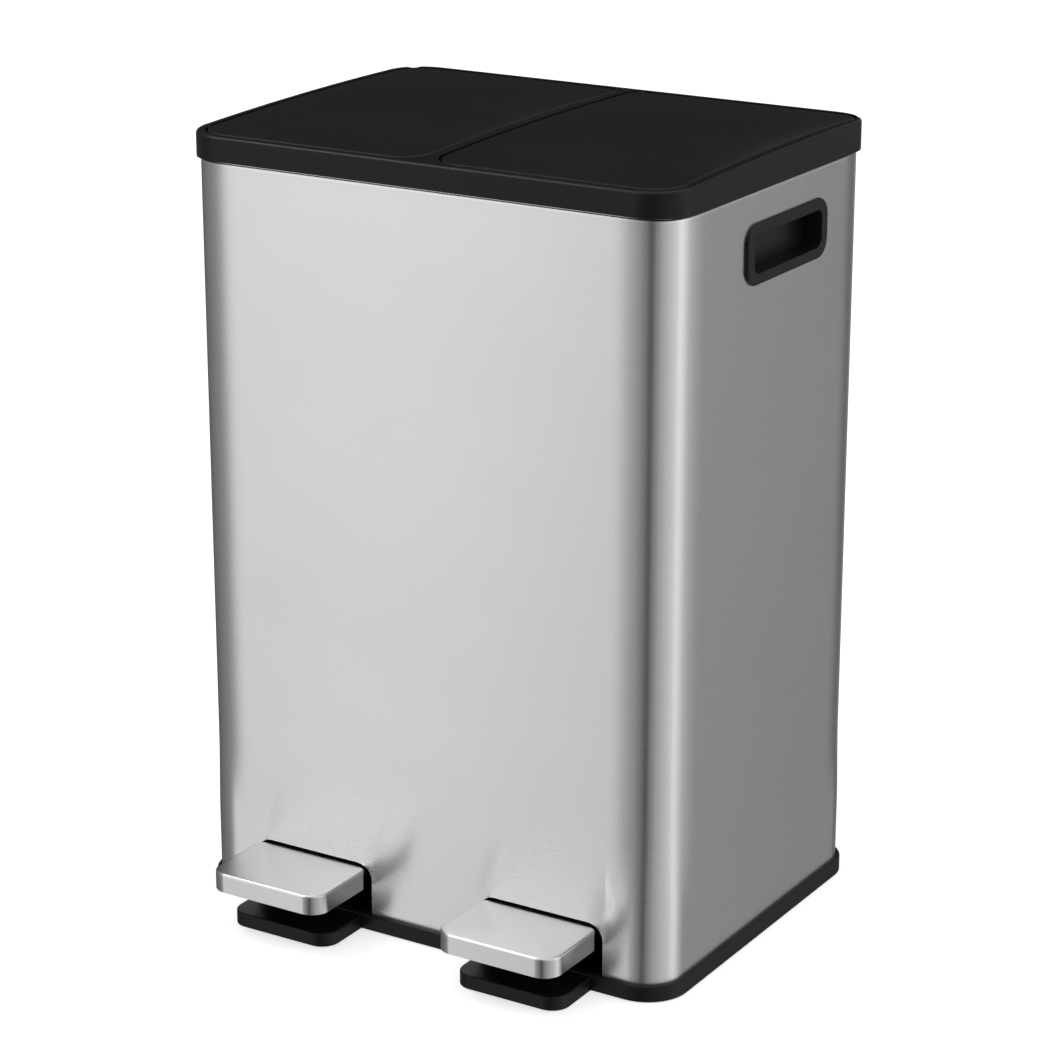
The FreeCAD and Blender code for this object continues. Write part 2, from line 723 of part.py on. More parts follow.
# ---------------------------------------------------------------- pedals
def pedal_screw_places():
    """Where the lever is screwed up into the pedal's core."""
    return [-212, -180]


def make_pedal_lever():
    """Pressed-steel channel from pedal to rod, bent at the pivot and forked at the rod."""
    pin_y, pin_z = lever_pin_back, lever_pin_height
    nose, bend_back, bend_front = -224, pivot_back + 9, pivot_back - 9
    outline = [(pin_y, pin_z + lever_tail_half), (bend_back, pivot_height + 8.6),
               (bend_front, pivot_height + 8.6), (-138, lever_top), (nose, lever_top),
               (nose, lever_top - 8), (-150, 41), (-134, 39.5), (bend_front, pivot_height - 9),
               (bend_back, pivot_height - 9), (pin_y, pin_z - lever_tail_half)]
    x_low, x_high = side_offset - lever_half_width, side_offset + lever_half_width
    solid = joined(side_prism(outline, x_low, x_high),
                   bar_x(lever_tail_half, x_low, x_high, pin_y, pin_z))
    beyond = pin_y + 4 * past
    lowered = [(y, z - lever_sheet) for y, z in outline[:4]]
    inner = side_prism([(beyond, pin_z + lever_tail_half - lever_sheet)] + lowered
                       + [(nose - past, lever_top - lever_sheet), (nose - past, 0), (beyond, 0)],
                       x_low + lever_sheet, x_high - lever_sheet)
    fork = block((x_low + lever_sheet, x_high - lever_sheet), (rod_back - 14, beyond),
                 (0, pivot_height + 25))
    bush_hole = bar_x(bush_radius, x_low, x_high, pivot_back, pivot_height)
    pin_hole = bar_x(lever_pin_radius, x_low, x_high, pin_y, pin_z)
    screw_holes = [post(screw_radius, lever_top - 10, lever_top + 10, side_offset, y)
                   for y in pedal_screw_places()]
    return without(solid, inner, fork, bush_hole, pin_hole, *screw_holes)


def make_lever_bushes():
    """Two flanged nylon bushes in the lever's sides."""
    flange = 1.0
    bushes = []
    for side in (-1, 1):
        far = lever_half_width + flange
        low, high = on_side(side, side_offset, lever_half_width - lever_sheet - flange, far)
        flange_low, flange_high = on_side(side, side_offset, lever_half_width, far)
        bush = joined(bar_x(bush_radius, low, high, pivot_back, pivot_height),
                      bar_x(bush_radius + 1.5, flange_low, flange_high, pivot_back, pivot_height))
        bushes.append(bush.cut(bar_x(axle_radius + running_gap, low, high, pivot_back,
                                     pivot_height)))
    return Part.makeCompound(bushes)


def make_pedal_axle():
    """Steel axle, pressed into the bracket's ears."""
    half = lever_half_width + past
    axle = bar_x(axle_radius, side_offset - half, side_offset + half, pivot_back, pivot_height)
    return axle.makeChamfer(0.6, [edge for edge in axle.Edges if edge.BoundBox.XLength < 0.01])


def bracket_screw_places():
    """Screws of the right-hand pivot bracket."""
    return [(side_offset + side * 21, pivot_back + along) for side in (-1, 1) for along in (-11, 11)]


def make_pivot_bracket():
    """Folded steel bracket: foot flanges and two ears that hold the axle."""
    near, sheet, half_length, ear_half = lever_half_width + 1.5, 2.0, 18.0, 9.0
    front, back = pivot_back - half_length, pivot_back + half_length
    foot = (base_floor_top, base_floor_top + sheet)
    pieces = [block((side_offset - near, side_offset + near), (front, back), foot)]
    for side in (-1, 1):
        low, high = on_side(side, side_offset, near, near + sheet)
        ear = side_prism([(front, base_floor_top), (back, base_floor_top),
                          (pivot_back + ear_half, pivot_height),
                          (pivot_back - ear_half, pivot_height)], low, high)
        pieces.append(joined(ear, bar_x(ear_half, low, high, pivot_back, pivot_height)))
        pieces.append(block(on_side(side, side_offset, near, near + 15), (front, back), foot))
    bracket = joined(*pieces)
    half = near + sheet
    axle_hole = bar_x(axle_radius, side_offset - half, side_offset + half, pivot_back, pivot_height)
    holes = [post(screw_radius, base_floor_top - 1, base_floor_top + 4, x, y)
             for x, y in bracket_screw_places()]
    return without(bracket, axle_hole, *holes)


def make_bracket_screws():
    """Screws that hold both pivot brackets to the base."""
    return both_sides(*[pan_screw(x, y, base_floor_top + 2, 4, 2.8)
                        for x, y in bracket_screw_places()])


def make_lever_pin():
    """Steel pin across the lever's fork, through the rod's lower eye."""
    return bar_x(lever_pin_radius, side_offset - lever_half_width, side_offset + lever_half_width,
                 lever_pin_back, lever_pin_height)


def pedal_outline(shrink, low, high):
    """Rounded pedal block, drawn in on all sides by shrink."""
    depth, middle = pedal_back - pedal_front, (pedal_back + pedal_front) / 2
    radii = [pedal_front_corner - shrink] * 2 + [pedal_back_corner - shrink] * 2
    return plate(pedal_width - 2 * shrink, depth - 2 * shrink, radii, low, high, side_offset,
                 middle)


def pedal_tail(clearance):
    """Tail of the core that runs back through the body's cut-out."""
    length, low = 24.0, pedal_top - 13.1
    return plate(pedal_tail_width + 2 * clearance, length, 3, low - clearance,
                 pedal_top - pedal_sheet - 1.1, side_offset, pedal_back + length / 2 - 1.5)


def make_pedal_cover():
    """Drawn stainless cap with a soft top edge."""
    outside = pedal_outline(0, pedal_bottom, pedal_top)
    outside = rounded_edges(outside, pedal_edge_round, lambda box: box.ZMin > pedal_top - 0.1)
    inside = pedal_outline(pedal_sheet, pedal_bottom - 1, pedal_top - pedal_sheet)
    return without(outside, inside, pedal_tail(fit_gap))


def make_pedal_core():
    """Moulded core under the cap, ribbed below, with a tail through the cut-out."""
    top, bottom = pedal_top - pedal_sheet - 0.1, pedal_bottom + 1.2
    core = pedal_outline(pedal_sheet + 0.1, bottom, top)
    cells = []
    for side in (-1, 1):
        for y in (-218, -197, -176):
            cells.append(plate(30, 17, 3, bottom - 1, top - 3, side_offset + side * 31, y))
    core = without(core, *cells)
    core = joined(core, pedal_tail(0))
    half_way = lever_half_width + fit_gap
    lever_way = block((side_offset - half_way, side_offset + half_way), (-224 - fit_gap, 0),
                      (0, top - 2.1))
    screws = [post(screw_radius, top - 2.2, top - 0.6, side_offset, y)
              for y in pedal_screw_places()]
    return without(core, lever_way, *screws)


def make_pedal_screws():
    """Two screws up through the lever into the core."""
    return Part.makeCompound([pan_screw(side_offset, y, lever_top - lever_sheet, 3.6, 3.2, down=False)
                              for y in pedal_screw_places()])


# ---------------------------------------------------------------- buckets
def drafted_block(width, depth, corner, low, high):
    """Upright block of a bucket's outline whose sides draw in evenly towards the bottom."""
    x, y, draft = side_offset, bucket_back, bucket_draft
    half_x, half_y = width / 2, depth / 2
    flat_x, flat_y = half_x - corner, half_y - corner
    slab = side_prism([(y - half_y + draft, low), (y + half_y - draft, low), (y + half_y, high),
                       (y - half_y, high)], x - flat_x, x + flat_x)
    cross = front_prism([(x - half_x + draft, low), (x + half_x - draft, low), (x + half_x, high),
                         (x - half_x, high)], y - flat_y, y + flat_y)
    corners = [Part.makeCone(corner - draft, corner, high - low,
                             Vec(x + sx * flat_x, y + sy * flat_y, low))
               for sx in (-1, 1) for sy in (-1, 1)]
    return joined(slab, cross, *corners)


def make_bucket():
    """Lift-out bucket: drafted walls, flat bottom and a turned-down carrying flange."""
    mouth_width, mouth_depth = bucket_width - 2 * bucket_wall, bucket_depth - 2 * bucket_wall
    mouth_corner = bucket_corner - bucket_wall
    flange_corner = bucket_corner + bucket_lip / 2 - 1
    top = bucket_top - bucket_wall
    outside = drafted_block(bucket_width, bucket_depth, bucket_corner, bucket_bottom, top)
    inside = drafted_block(mouth_width, mouth_depth, mouth_corner, bucket_bottom + bucket_floor, top)
    flange = plate(bucket_flange_width, bucket_flange_depth, flange_corner, top - 0.2, bucket_top,
                   side_offset, bucket_back)
    lip = ring(bucket_flange_width, bucket_flange_depth, flange_corner, bucket_wall - 0.2,
               bucket_top - bucket_lip, bucket_top - 1, side_offset, bucket_back)
    mouth = plate(mouth_width, mouth_depth, mouth_corner, top - 1, bucket_top + 1, side_offset,
                  bucket_back)
    return without(joined(outside, flange, lip), inside, mouth)


# ---------------------------------------------------------------- grips
def grip_face(width, height, corner, x):
    """Upright rounded face at a grip, looking across, at one X."""
    return rounded_face(width, height, corner, Vec(x, grip_back, grip_middle), BACK, UP)


def make_grip_frame():
    """Rounded frame on the side of the body, proud of the steel."""
    wall_x = body_width / 2
    frame = grip_face(grip_width, grip_height, grip_corner, wall_x).extrude(ACROSS * grip_proud)
    frame = rounded_edges(frame, 2.2, lambda box: box.XMin > wall_x + grip_proud - 0.1)
    opening = grip_face(grip_opening_width, grip_opening_height, grip_opening_corner, wall_x - 1)
    return frame.cut(opening.extrude(ACROSS * (grip_proud + 2)))


def make_grip_cup():
    """Recess behind the grip frame, flanged against the inside of the steel."""
    cup_wall, flange_sheet = 2.0, 1.8
    wall_x = body_width / 2
    inner_x = wall_x - grip_depth
    cup = grip_face(grip_opening_width + 2 * cup_wall, grip_opening_height + 2 * cup_wall,
                    grip_opening_corner + 1.5, inner_x - cup_wall)
    cup = cup.extrude(ACROSS * (grip_depth + cup_wall))
    flange = grip_face(grip_width - 4, grip_height - 4, grip_corner - 3,
                       wall_x - steel - flange_sheet).extrude(ACROSS * flange_sheet)
    hollow = grip_face(grip_opening_width, grip_opening_height, grip_opening_corner, inner_x)
    return joined(cup, flange).cut(hollow.extrude(ACROSS * (grip_depth + 1)))


# ---------------------------------------------------------------- all nodes
shared_nodes = {
    "body_shell": make_body_shell,
    "base_tray": make_base_tray,
    "rubber_feet": make_rubber_feet,
    "pedal_stops": make_pedal_stops,
    "bucket_shelf": make_shelf,
    "shelf_screws": make_shelf_screws,
    "bracket_screws": make_bracket_screws,
    "top_rim": make_top_rim,
    "lid_bumpers": make_lid_bumpers,
}
paired_nodes = {
    "lid_cover": make_lid_cover,
    "lid_liner": make_lid_liner,
    "lid_screws": make_lid_screws,
    "crank_pin": make_crank_pin,
    "hinge_pins": make_hinge_pins,
    "lift_rod": make_lift_rod,
    "rod_channel": make_rod_channel,
    "damper_tube": make_damper_tube,
    "damper_piston": make_damper_piston,
    "damper_arm": make_damper_arm,
    "pedal_cover": make_pedal_cover,
    "pedal_core": make_pedal_core,
    "pedal_screws": make_pedal_screws,
    "pedal_lever": make_pedal_lever,
    "lever_bushes": make_lever_bushes,
    "lever_pin": make_lever_pin,
    "pedal_axle": make_pedal_axle,
    "pivot_bracket": make_pivot_bracket,
    "bucket": make_bucket,
    "grip_frame": make_grip_frame,
    "grip_cup": make_grip_cup,
}


def save(name, shape):
    """Move a piece to the origin's frame and write its STEP file."""
    placed = shape.copy()
    placed.translate(BACK * origin_shift)
    placed.exportStep(f"parts/{name}.step")


os.makedirs("parts", exist_ok=True)
for name, make in shared_nodes.items():
    save(name, make())
for name, make in paired_nodes.items():
    right = make()
    save(f"{name}_right", right)
    save(f"{name}_left", mirrored(right))
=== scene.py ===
"""Looks of a two-bucket pedal recycling bin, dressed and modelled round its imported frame.

The steel wrap, the lids, the pedals and the grips are modelled here over their solids.
The moulded and pressed pieces that already have the right shape are copied from the
frame, with their flats joined and their rounds shaded smooth.  Everything is in metres,
with the floor at height zero.
"""

import json
import logging
import math
from collections.abc import Callable, Iterable, Iterator
from contextlib import contextmanager
from dataclasses import dataclass
from enum import Enum

import bmesh
import bpy
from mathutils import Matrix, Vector

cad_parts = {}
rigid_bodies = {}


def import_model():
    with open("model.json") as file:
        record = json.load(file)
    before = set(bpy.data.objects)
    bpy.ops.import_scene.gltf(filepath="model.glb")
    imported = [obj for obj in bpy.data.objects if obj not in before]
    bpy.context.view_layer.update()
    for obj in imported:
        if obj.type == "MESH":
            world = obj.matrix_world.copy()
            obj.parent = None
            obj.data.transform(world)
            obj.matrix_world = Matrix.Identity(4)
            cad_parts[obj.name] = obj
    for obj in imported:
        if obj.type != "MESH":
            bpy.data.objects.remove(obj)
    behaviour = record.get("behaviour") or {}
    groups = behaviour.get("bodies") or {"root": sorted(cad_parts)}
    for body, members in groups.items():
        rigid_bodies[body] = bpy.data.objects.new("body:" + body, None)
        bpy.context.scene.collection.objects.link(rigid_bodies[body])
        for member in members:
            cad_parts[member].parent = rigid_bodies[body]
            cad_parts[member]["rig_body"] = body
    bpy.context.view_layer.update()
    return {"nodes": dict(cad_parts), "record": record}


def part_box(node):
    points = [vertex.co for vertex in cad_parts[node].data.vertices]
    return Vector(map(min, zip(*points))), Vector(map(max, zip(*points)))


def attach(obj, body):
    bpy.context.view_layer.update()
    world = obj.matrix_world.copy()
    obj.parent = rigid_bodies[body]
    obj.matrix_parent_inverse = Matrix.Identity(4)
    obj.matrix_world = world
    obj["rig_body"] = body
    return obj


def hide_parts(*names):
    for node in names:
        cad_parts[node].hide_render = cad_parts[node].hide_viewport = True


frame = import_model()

log = logging.getLogger("recycling_bin")

Point = tuple[float, float, float]
EdgeTest = Callable[[Vector, Vector], bool]

TOUCH = 1e-6
"""Metres within which two places count as the same."""

SLACK = 1e-5
"""Metres by which a limit lies beside the places that it takes in."""

PAST = 0.01
"""Metres by which a cutter reaches past the piece that it cuts."""

FACING = 0.9
"""How much of a unit normal lies along an axis on the faces that look that way."""

LEVEL = 0.999
"""The same, on a flat top without the round beside it."""


class Side(Enum):
    """The two halves of the bin, as the sign of their place across."""

    LEFT = -1
    RIGHT = 1

    @property
    def label(self) -> str:
        """The half's word in the names of nodes and bodies."""
        return self.name.lower()


class Brush(Enum):
    """Which way the brush marks of a steel face run, as streak fineness along X, Y and Z."""

    ROUND_THE_BODY = (5.0, 5.0, 1500.0)
    ALONG_THE_PEDAL = (7.0, 1500.0, 1500.0)


@dataclass(frozen=True)
class Round:
    """The round of an edge: its reach, its strips, and its fullness, 0.5 where it is circular."""

    reach: float
    strips: int
    fullness: float = 0.5


# ---- modelling moves
class Bench:
    """The modelling moves that the pieces are made with."""

    @staticmethod
    def alone(piece: bpy.types.Object) -> None:
        """Make a piece the only one selected, and the active one.

        Args:
            piece: the object to work on.
        """
        bpy.ops.object.select_all(action="DESELECT")
        piece.select_set(True)
        bpy.context.view_layer.objects.active = piece

    @staticmethod
    def block(name: str, low: Iterable[float], high: Iterable[float]) -> bpy.types.Object:
        """Add a block between two corners.

        Args:
            name: what the piece is called.
            low: the lowest corner.
            high: the highest corner.

        Returns:
            The block, with its origin at the frame's origin.
        """
        low, high = Vector(low), Vector(high)
        bpy.ops.object.select_all(action="DESELECT")
        bpy.ops.mesh.primitive_cube_add(size=1, location=(low + high) / 2, scale=high - low)
        return Bench.entered(name)

    @staticmethod
    def bar_across(name: str, radius: float, low: Point, length: float) -> bpy.types.Object:
        """Add a round bar that runs along X.

        Args:
            name: what the piece is called.
            radius: the bar's radius.
            low: the middle of its lower end.
            length: how far it runs.

        Returns:
            The bar, with its origin at the frame's origin.
        """
        middle = Vector(low) + Vector((length / 2, 0, 0))
        bpy.ops.object.select_all(action="DESELECT")
        bpy.ops.mesh.primitive_cylinder_add(vertices=32, radius=radius, depth=length, location=middle,
                                            rotation=(0, math.pi / 2, 0))
        return Bench.entered(name)

    @staticmethod
    def entered(name: str) -> bpy.types.Object:
        """Name the piece that was just added, and bring its origin to the frame's origin.

        Args:
            name: what the piece is called.

        Returns:
            The piece.
        """
        piece = bpy.context.object
        piece.name = piece.data.name = name
        bpy.ops.object.transform_apply(location=True, rotation=True, scale=True)
        return piece

    @staticmethod
    @contextmanager
    def editing(piece: bpy.types.Object, mode: str = "EDGE") -> Iterator[None]:
        """Hold a piece in edit mode with nothing of it selected.

        Args:
            piece: the object to edit.
            mode: VERT, EDGE or FACE, what is picked.

        Returns:
            A context in which mesh operators act on the piece.
        """
        Bench.alone(piece)
        bpy.ops.object.mode_set(mode="EDIT")
        bpy.ops.mesh.select_mode(type=mode)
        bpy.ops.mesh.select_all(action="DESELECT")
        yield
        bpy.ops.object.mode_set(mode="OBJECT")

    @staticmethod
    def pick(piece: bpy.types.Object, kind: str, test: Callable[..., bool]) -> None:
        """Select parts of a piece in edit mode, and nothing else of it.

        Args:
            piece: the object in edit mode.
            kind: edges or faces.
            test: says of an edge or a face whether it is picked.
        """
        bpy.ops.mesh.select_all(action="DESELECT")
        mesh = bmesh.from_edit_mesh(piece.data)
        for part in getattr(mesh, kind):
            if test(part):
                part.select_set(True)
        mesh.select_flush_mode()
        bmesh.update_edit_mesh(piece.data)

    @staticmethod
    def pick_edges(piece: bpy.types.Object, test: EdgeTest) -> None:
        """Select the edges of a piece in edit mode by the places of their two ends."""
        Bench.pick(piece, "edges", lambda edge: test(edge.verts[0].co, edge.verts[1].co))

    @staticmethod
    def pick_facing(piece: bpy.types.Object, test: Callable[[float], bool]) -> None:
        """Select the faces of a piece in edit mode by how far up their normals point."""
        Bench.pick(piece, "faces", lambda face: test(face.normal.z))

    @staticmethod
    def score(place: Point, normal: Point) -> None:
        """Part every face in edit mode along a plane, and keep both sides.

        Args:
            place: a point on the plane.
            normal: the direction square to it.
        """
        bpy.ops.mesh.select_all(action="SELECT")
        bpy.ops.mesh.bisect(plane_co=place, plane_no=normal)

    @staticmethod
    def shrink_picked(piece: bpy.types.Object, middle: Vector, half: Vector, share: float) -> None:
        """Bring the picked faces to a share of a panel's size, about its middle.

        Args:
            piece: the object in edit mode.
            middle: the middle of the panel.
            half: half the panel's size.
            share: the share of its size that the picked faces reach out to.
        """
        mesh = bmesh.from_edit_mesh(piece.data)
        reach = max(abs(vertex.co.x - middle.x) for vertex in mesh.verts if vertex.select) / half.x
        bpy.ops.transform.resize(value=(share / reach, share / reach, 1), center_override=middle)

    @staticmethod
    def bevel(shape: Round) -> None:
        """Round the picked edges.

        Args:
            shape: the round that they get.
        """
        bpy.ops.mesh.bevel(offset=shape.reach, offset_type="OFFSET", segments=shape.strips,
                           profile=shape.fullness, affect="EDGES", clamp_overlap=False)

    @staticmethod
    def upright(first: Vector, second: Vector) -> bool:
        """Whether an edge stands straight up."""
        return (first - second).xy.length < TOUCH < abs(first.z - second.z)

    @staticmethod
    def through(first: Vector, second: Vector) -> bool:
        """Whether an edge runs straight across, along X."""
        return (first - second).yz.length < TOUCH

    @staticmethod
    def round_edges(piece: bpy.types.Object, shape: Round, test: EdgeTest) -> None:
        """Round the edges of a piece that a test picks by their ends.

        Args:
            piece: the object to work on.
            shape: the round that they get.
            test: says of two ends whether their edge is rounded.
        """
        with Bench.editing(piece):
            Bench.pick_edges(piece, test)
            Bench.bevel(shape)

    @staticmethod
    def apply(piece: bpy.types.Object, kind: str, **settings: object) -> None:
        """Add a modifier to a piece and apply it.

        Args:
            piece: the object to finish.
            kind: the modifier's type.
            settings: its values.
        """
        Bench.alone(piece)
        modifier = piece.modifiers.new(kind.lower(), kind)
        for name, value in settings.items():
            setattr(modifier, name, value)
        bpy.ops.object.modifier_apply(modifier=modifier.name)

    @staticmethod
    def cut(piece: bpy.types.Object, *cutters: bpy.types.Object) -> None:
        """Cut other blocks out of a piece, and delete them.

        Args:
            piece: the object to cut.
            cutters: what is taken away.
        """
        for cutter in cutters:
            Bench.apply(piece, "BOOLEAN", operation="DIFFERENCE", solver="EXACT", object=cutter)
            bpy.data.objects.remove(cutter, do_unlink=True)

    @staticmethod
    def merge() -> None:
        """Merge the doubled points in edit mode, and leave everything picked."""
        bpy.ops.mesh.select_all(action="SELECT")
        bpy.ops.mesh.remove_doubles(threshold=TOUCH)

    @staticmethod
    def join_flats(piece: bpy.types.Object, degrees: float = 0.15) -> None:
        """Join triangles that lie in one plane, so that flats shade flat.

        Args:
            piece: the object to clean.
            degrees: the angle up to which neighbours count as one plane.
        """
        with Bench.editing(piece, "VERT"):
            Bench.merge()
            bpy.ops.mesh.dissolve_limited(angle_limit=math.radians(degrees))

    @staticmethod
    def smooth(piece: bpy.types.Object, degrees: float = 32.0) -> None:
        """Shade a piece smooth, up to an angle.

        Args:
            piece: the object to shade.
            degrees: the angle from which an edge stays sharp.
        """
        with Bench.editing(piece, "VERT"):
            Bench.merge()
        Bench.alone(piece)
        bpy.ops.object.shade_smooth_by_angle(angle=math.radians(degrees))
        Bench.apply(piece, "WEIGHTED_NORMAL", keep_sharp=True)


# ---- finishes
Swing = tuple[float, float]

NOISE_LOW, NOISE_HIGH = 0.3, 0.7
"""The span that most of a noise's values lie in."""


class Tree:
    """A node tree of a material or of the world, while it is being laid out."""

    def __init__(self, owner: bpy.types.Material | bpy.types.World) -> None:
        """Start with no nodes.

        Args:
            owner: what the tree belongs to.
        """
        owner.use_nodes = True
        self.tree = owner.node_tree
        self.tree.nodes.clear()

    def add(self, kind: str, **settings: object) -> bpy.types.Node:
        """Add a node with its settings and socket values.

        Args:
            kind: the node's type.
            settings: properties, or input values by their socket names with underscores.

        Returns:
            The new node.
        """
        node = self.tree.nodes.new(kind)
        for name, value in settings.items():
            if hasattr(node, name):
                setattr(node, name, value)
            else:
                node.inputs[name.replace("_", " ")].default_value = value
        return node

    def join(self, source: bpy.types.Node, out: str | int, target: bpy.types.Node,
             into: str | int) -> None:
        """Link an output to an input.

        Args:
            source: the node that gives the value.
            out: its output.
            target: the node that takes it.
            into: its input.
        """
        self.tree.links.new(source.outputs[out], target.inputs[into])

    def times(self, source: bpy.types.Node, out: str, factor: float) -> bpy.types.Node:
        """Multiply an output by a number.

        Args:
            source: the node that gives the value.
            out: its output.
            factor: the number.

        Returns:
            The math node.
        """
        product = self.add("ShaderNodeMath", operation="MULTIPLY")
        product.inputs[1].default_value = factor
        self.join(source, out, product, 0)
        return product

    def choose(self, ray: str, usual: bpy.types.Node, special: bpy.types.Node) -> bpy.types.Node:
        """Show one shader to one kind of ray, and another to the rest.

        Args:
            ray: the Light Path output that names the kind of ray.
            usual: the shader for all other rays.
            special: the shader for that kind.

        Returns:
            The mix of both.
        """
        mix = self.add("ShaderNodeMixShader")
        self.join(self.add("ShaderNodeLightPath"), ray, mix, 0)
        self.join(usual, 0, mix, 1)
        self.join(special, 0, mix, 2)
        return mix


class Board(Tree):
    """A finish's node tree, with its shader and its place on the piece."""

    def __init__(self, name: str) -> None:
        """Start an empty material.

        Args:
            name: the material's name.
        """
        self.material = bpy.data.materials.new(name)
        super().__init__(self.material)
        self.shader = self.add("ShaderNodeBsdfPrincipled")
        output = self.add("ShaderNodeOutputMaterial")
        self.join(self.shader, "BSDF", output, "Surface")
        self.place = self.add("ShaderNodeTexCoord")

    def noise(self, scale: Point, detail: float = 4.0, roughness: float = 0.6) -> bpy.types.Node:
        """Noise on the piece's own coordinates.

        Args:
            scale: fineness along X, Y and Z, in cells per metre.
            detail: how many finer layers it has.
            roughness: how strong those are.

        Returns:
            The noise node.
        """
        mapping = self.add("ShaderNodeMapping", Scale=scale)
        self.join(self.place, "Object", mapping, "Vector")
        noise = self.add("ShaderNodeTexNoise", Scale=1.0, Detail=detail, Roughness=roughness)
        self.join(mapping, "Vector", noise, "Vector")
        return noise

    def spread(self, noise: bpy.types.Node, middle: float, swing: Swing) -> bpy.types.Node:
        """Map a noise to a range of values.

        Args:
            noise: the noise node.
            middle: the value that the range lies about.
            swing: how far below and above it the range goes.

        Returns:
            The map range node.
        """
        ranged = self.add("ShaderNodeMapRange", From_Min=NOISE_LOW, From_Max=NOISE_HIGH,
                          To_Min=middle + swing[0], To_Max=middle + swing[1])
        self.join(noise, "Fac", ranged, "Value")
        return ranged

    def tint(self, noise: bpy.types.Node, shade: float, swing: Swing, hue: Point) -> None:
        """Give the shader a colour that runs from a dark to a light shade of one hue.

        Args:
            noise: the noise node that the shade follows.
            shade: the middle brightness.
            swing: how far below and above it the shade goes, as shares of it.
            hue: the hue that all are shades of.
        """
        ramp = self.add("ShaderNodeValToRGB")
        for element, place, share in zip(ramp.color_ramp.elements, (NOISE_LOW, NOISE_HIGH), swing):
            element.position = place
            element.color = (*(channel * shade * (1 + share) for channel in hue), 1.0)
        self.join(noise, "Fac", ramp, "Fac")
        self.join(ramp, "Color", self.shader, "Base Color")

    def relief(self, source: bpy.types.Node, out: str, strength: float, depth: float,
               under: bpy.types.Node | None = None) -> bpy.types.Node:
        """Bump from a height value.

        Args:
            source: the node that gives the height.
            out: its output.
            strength: how strongly it shows.
            depth: the height of the relief in metres.
            under: a coarser relief that this one lies on.

        Returns:
            The bump node.
        """
        bump = self.add("ShaderNodeBump", Strength=strength, Distance=depth)
        self.join(source, out, bump, "Height")
        if under is not None:
            self.join(under, "Normal", bump, "Normal")
        return bump


@dataclass(frozen=True)
class BrushedSteel:
    """Brushed sheet steel, whose marks run square to a lift direction on every face."""

    name: str
    brush: Brush
    lift: Point
    shade: float = 0.765
    roughness: float = 0.27
    anisotropy: float = 0.75
    hue: Point = (1.0, 1.0, 0.997)
    quarter_turn: float = 0.25
    shade_swing: Swing = (-0.022, 0.022)
    cloud_fineness: Point = (5.0, 5.0, 7.0)
    cloud_swing: Swing = (-0.015, 0.022)
    line_swing: Swing = (-0.012, 0.02)
    mark_strength: float = 0.015
    mark_depth: float = 0.00002

    def material(self) -> bpy.types.Material:
        """Lay out the finish.

        Returns:
            The material.
        """
        board = Board(self.name)
        shader = board.shader
        shader.inputs["Metallic"].default_value = 1.0
        shader.inputs["Anisotropic"].default_value = self.anisotropy
        shader.inputs["Anisotropic Rotation"].default_value = self.quarter_turn
        run = board.add("ShaderNodeVectorMath", operation="CROSS_PRODUCT")
        run.inputs[1].default_value = self.lift
        board.join(board.place, "Normal", run, 0)
        tangent = board.add("ShaderNodeVectorTransform", vector_type="VECTOR", convert_from="OBJECT",
                            convert_to="WORLD")
        board.join(run, "Vector", tangent, "Vector")
        board.join(tangent, "Vector", shader, "Tangent")
        streaks = board.noise(self.brush.value, detail=3.0, roughness=0.6)
        board.tint(streaks, self.shade, self.shade_swing, self.hue)
        clouds = board.noise(self.cloud_fineness, detail=3.0)
        cloudy = board.spread(clouds, self.roughness, self.cloud_swing)
        lined = board.spread(streaks, 0.0, self.line_swing)
        rough = board.add("ShaderNodeMath", operation="ADD")
        board.join(cloudy, "Result", rough, 0)
        board.join(lined, "Result", rough, 1)
        board.join(rough, "Value", shader, "Roughness")
        relief = board.relief(streaks, "Fac", self.mark_strength, self.mark_depth)
        board.join(relief, "Normal", shader, "Normal")
        return board.material


@dataclass(frozen=True)
class PlatedSteel:
    """Pressed or turned steel with a dull plating."""

    name: str
    shade: float
    roughness: float
    hue: Point = (0.98, 1.0, 1.02)
    spangle_fineness: Point = (240.0, 240.0, 240.0)
    shade_swing: Swing = (-0.12, 0.08)
    rough_swing: Swing = (-0.06, 0.08)
    scratch_fineness: Point = (60.0, 900.0, 900.0)
    scratch_strength: float = 0.08
    scratch_depth: float = 0.00005

    def material(self) -> bpy.types.Material:
        """Lay out the finish.

        Returns:
            The material.
        """
        board = Board(self.name)
        shader = board.shader
        shader.inputs["Metallic"].default_value = 1.0
        spangle = board.noise(self.spangle_fineness, detail=3.0)
        board.tint(spangle, self.shade, self.shade_swing, self.hue)
        rough = board.spread(spangle, self.roughness, self.rough_swing)
        board.join(rough, "Result", shader, "Roughness")
        scratches = board.noise(self.scratch_fineness, detail=2.0)
        relief = board.relief(scratches, "Fac", self.scratch_strength, self.scratch_depth)
        board.join(relief, "Normal", shader, "Normal")
        return board.material


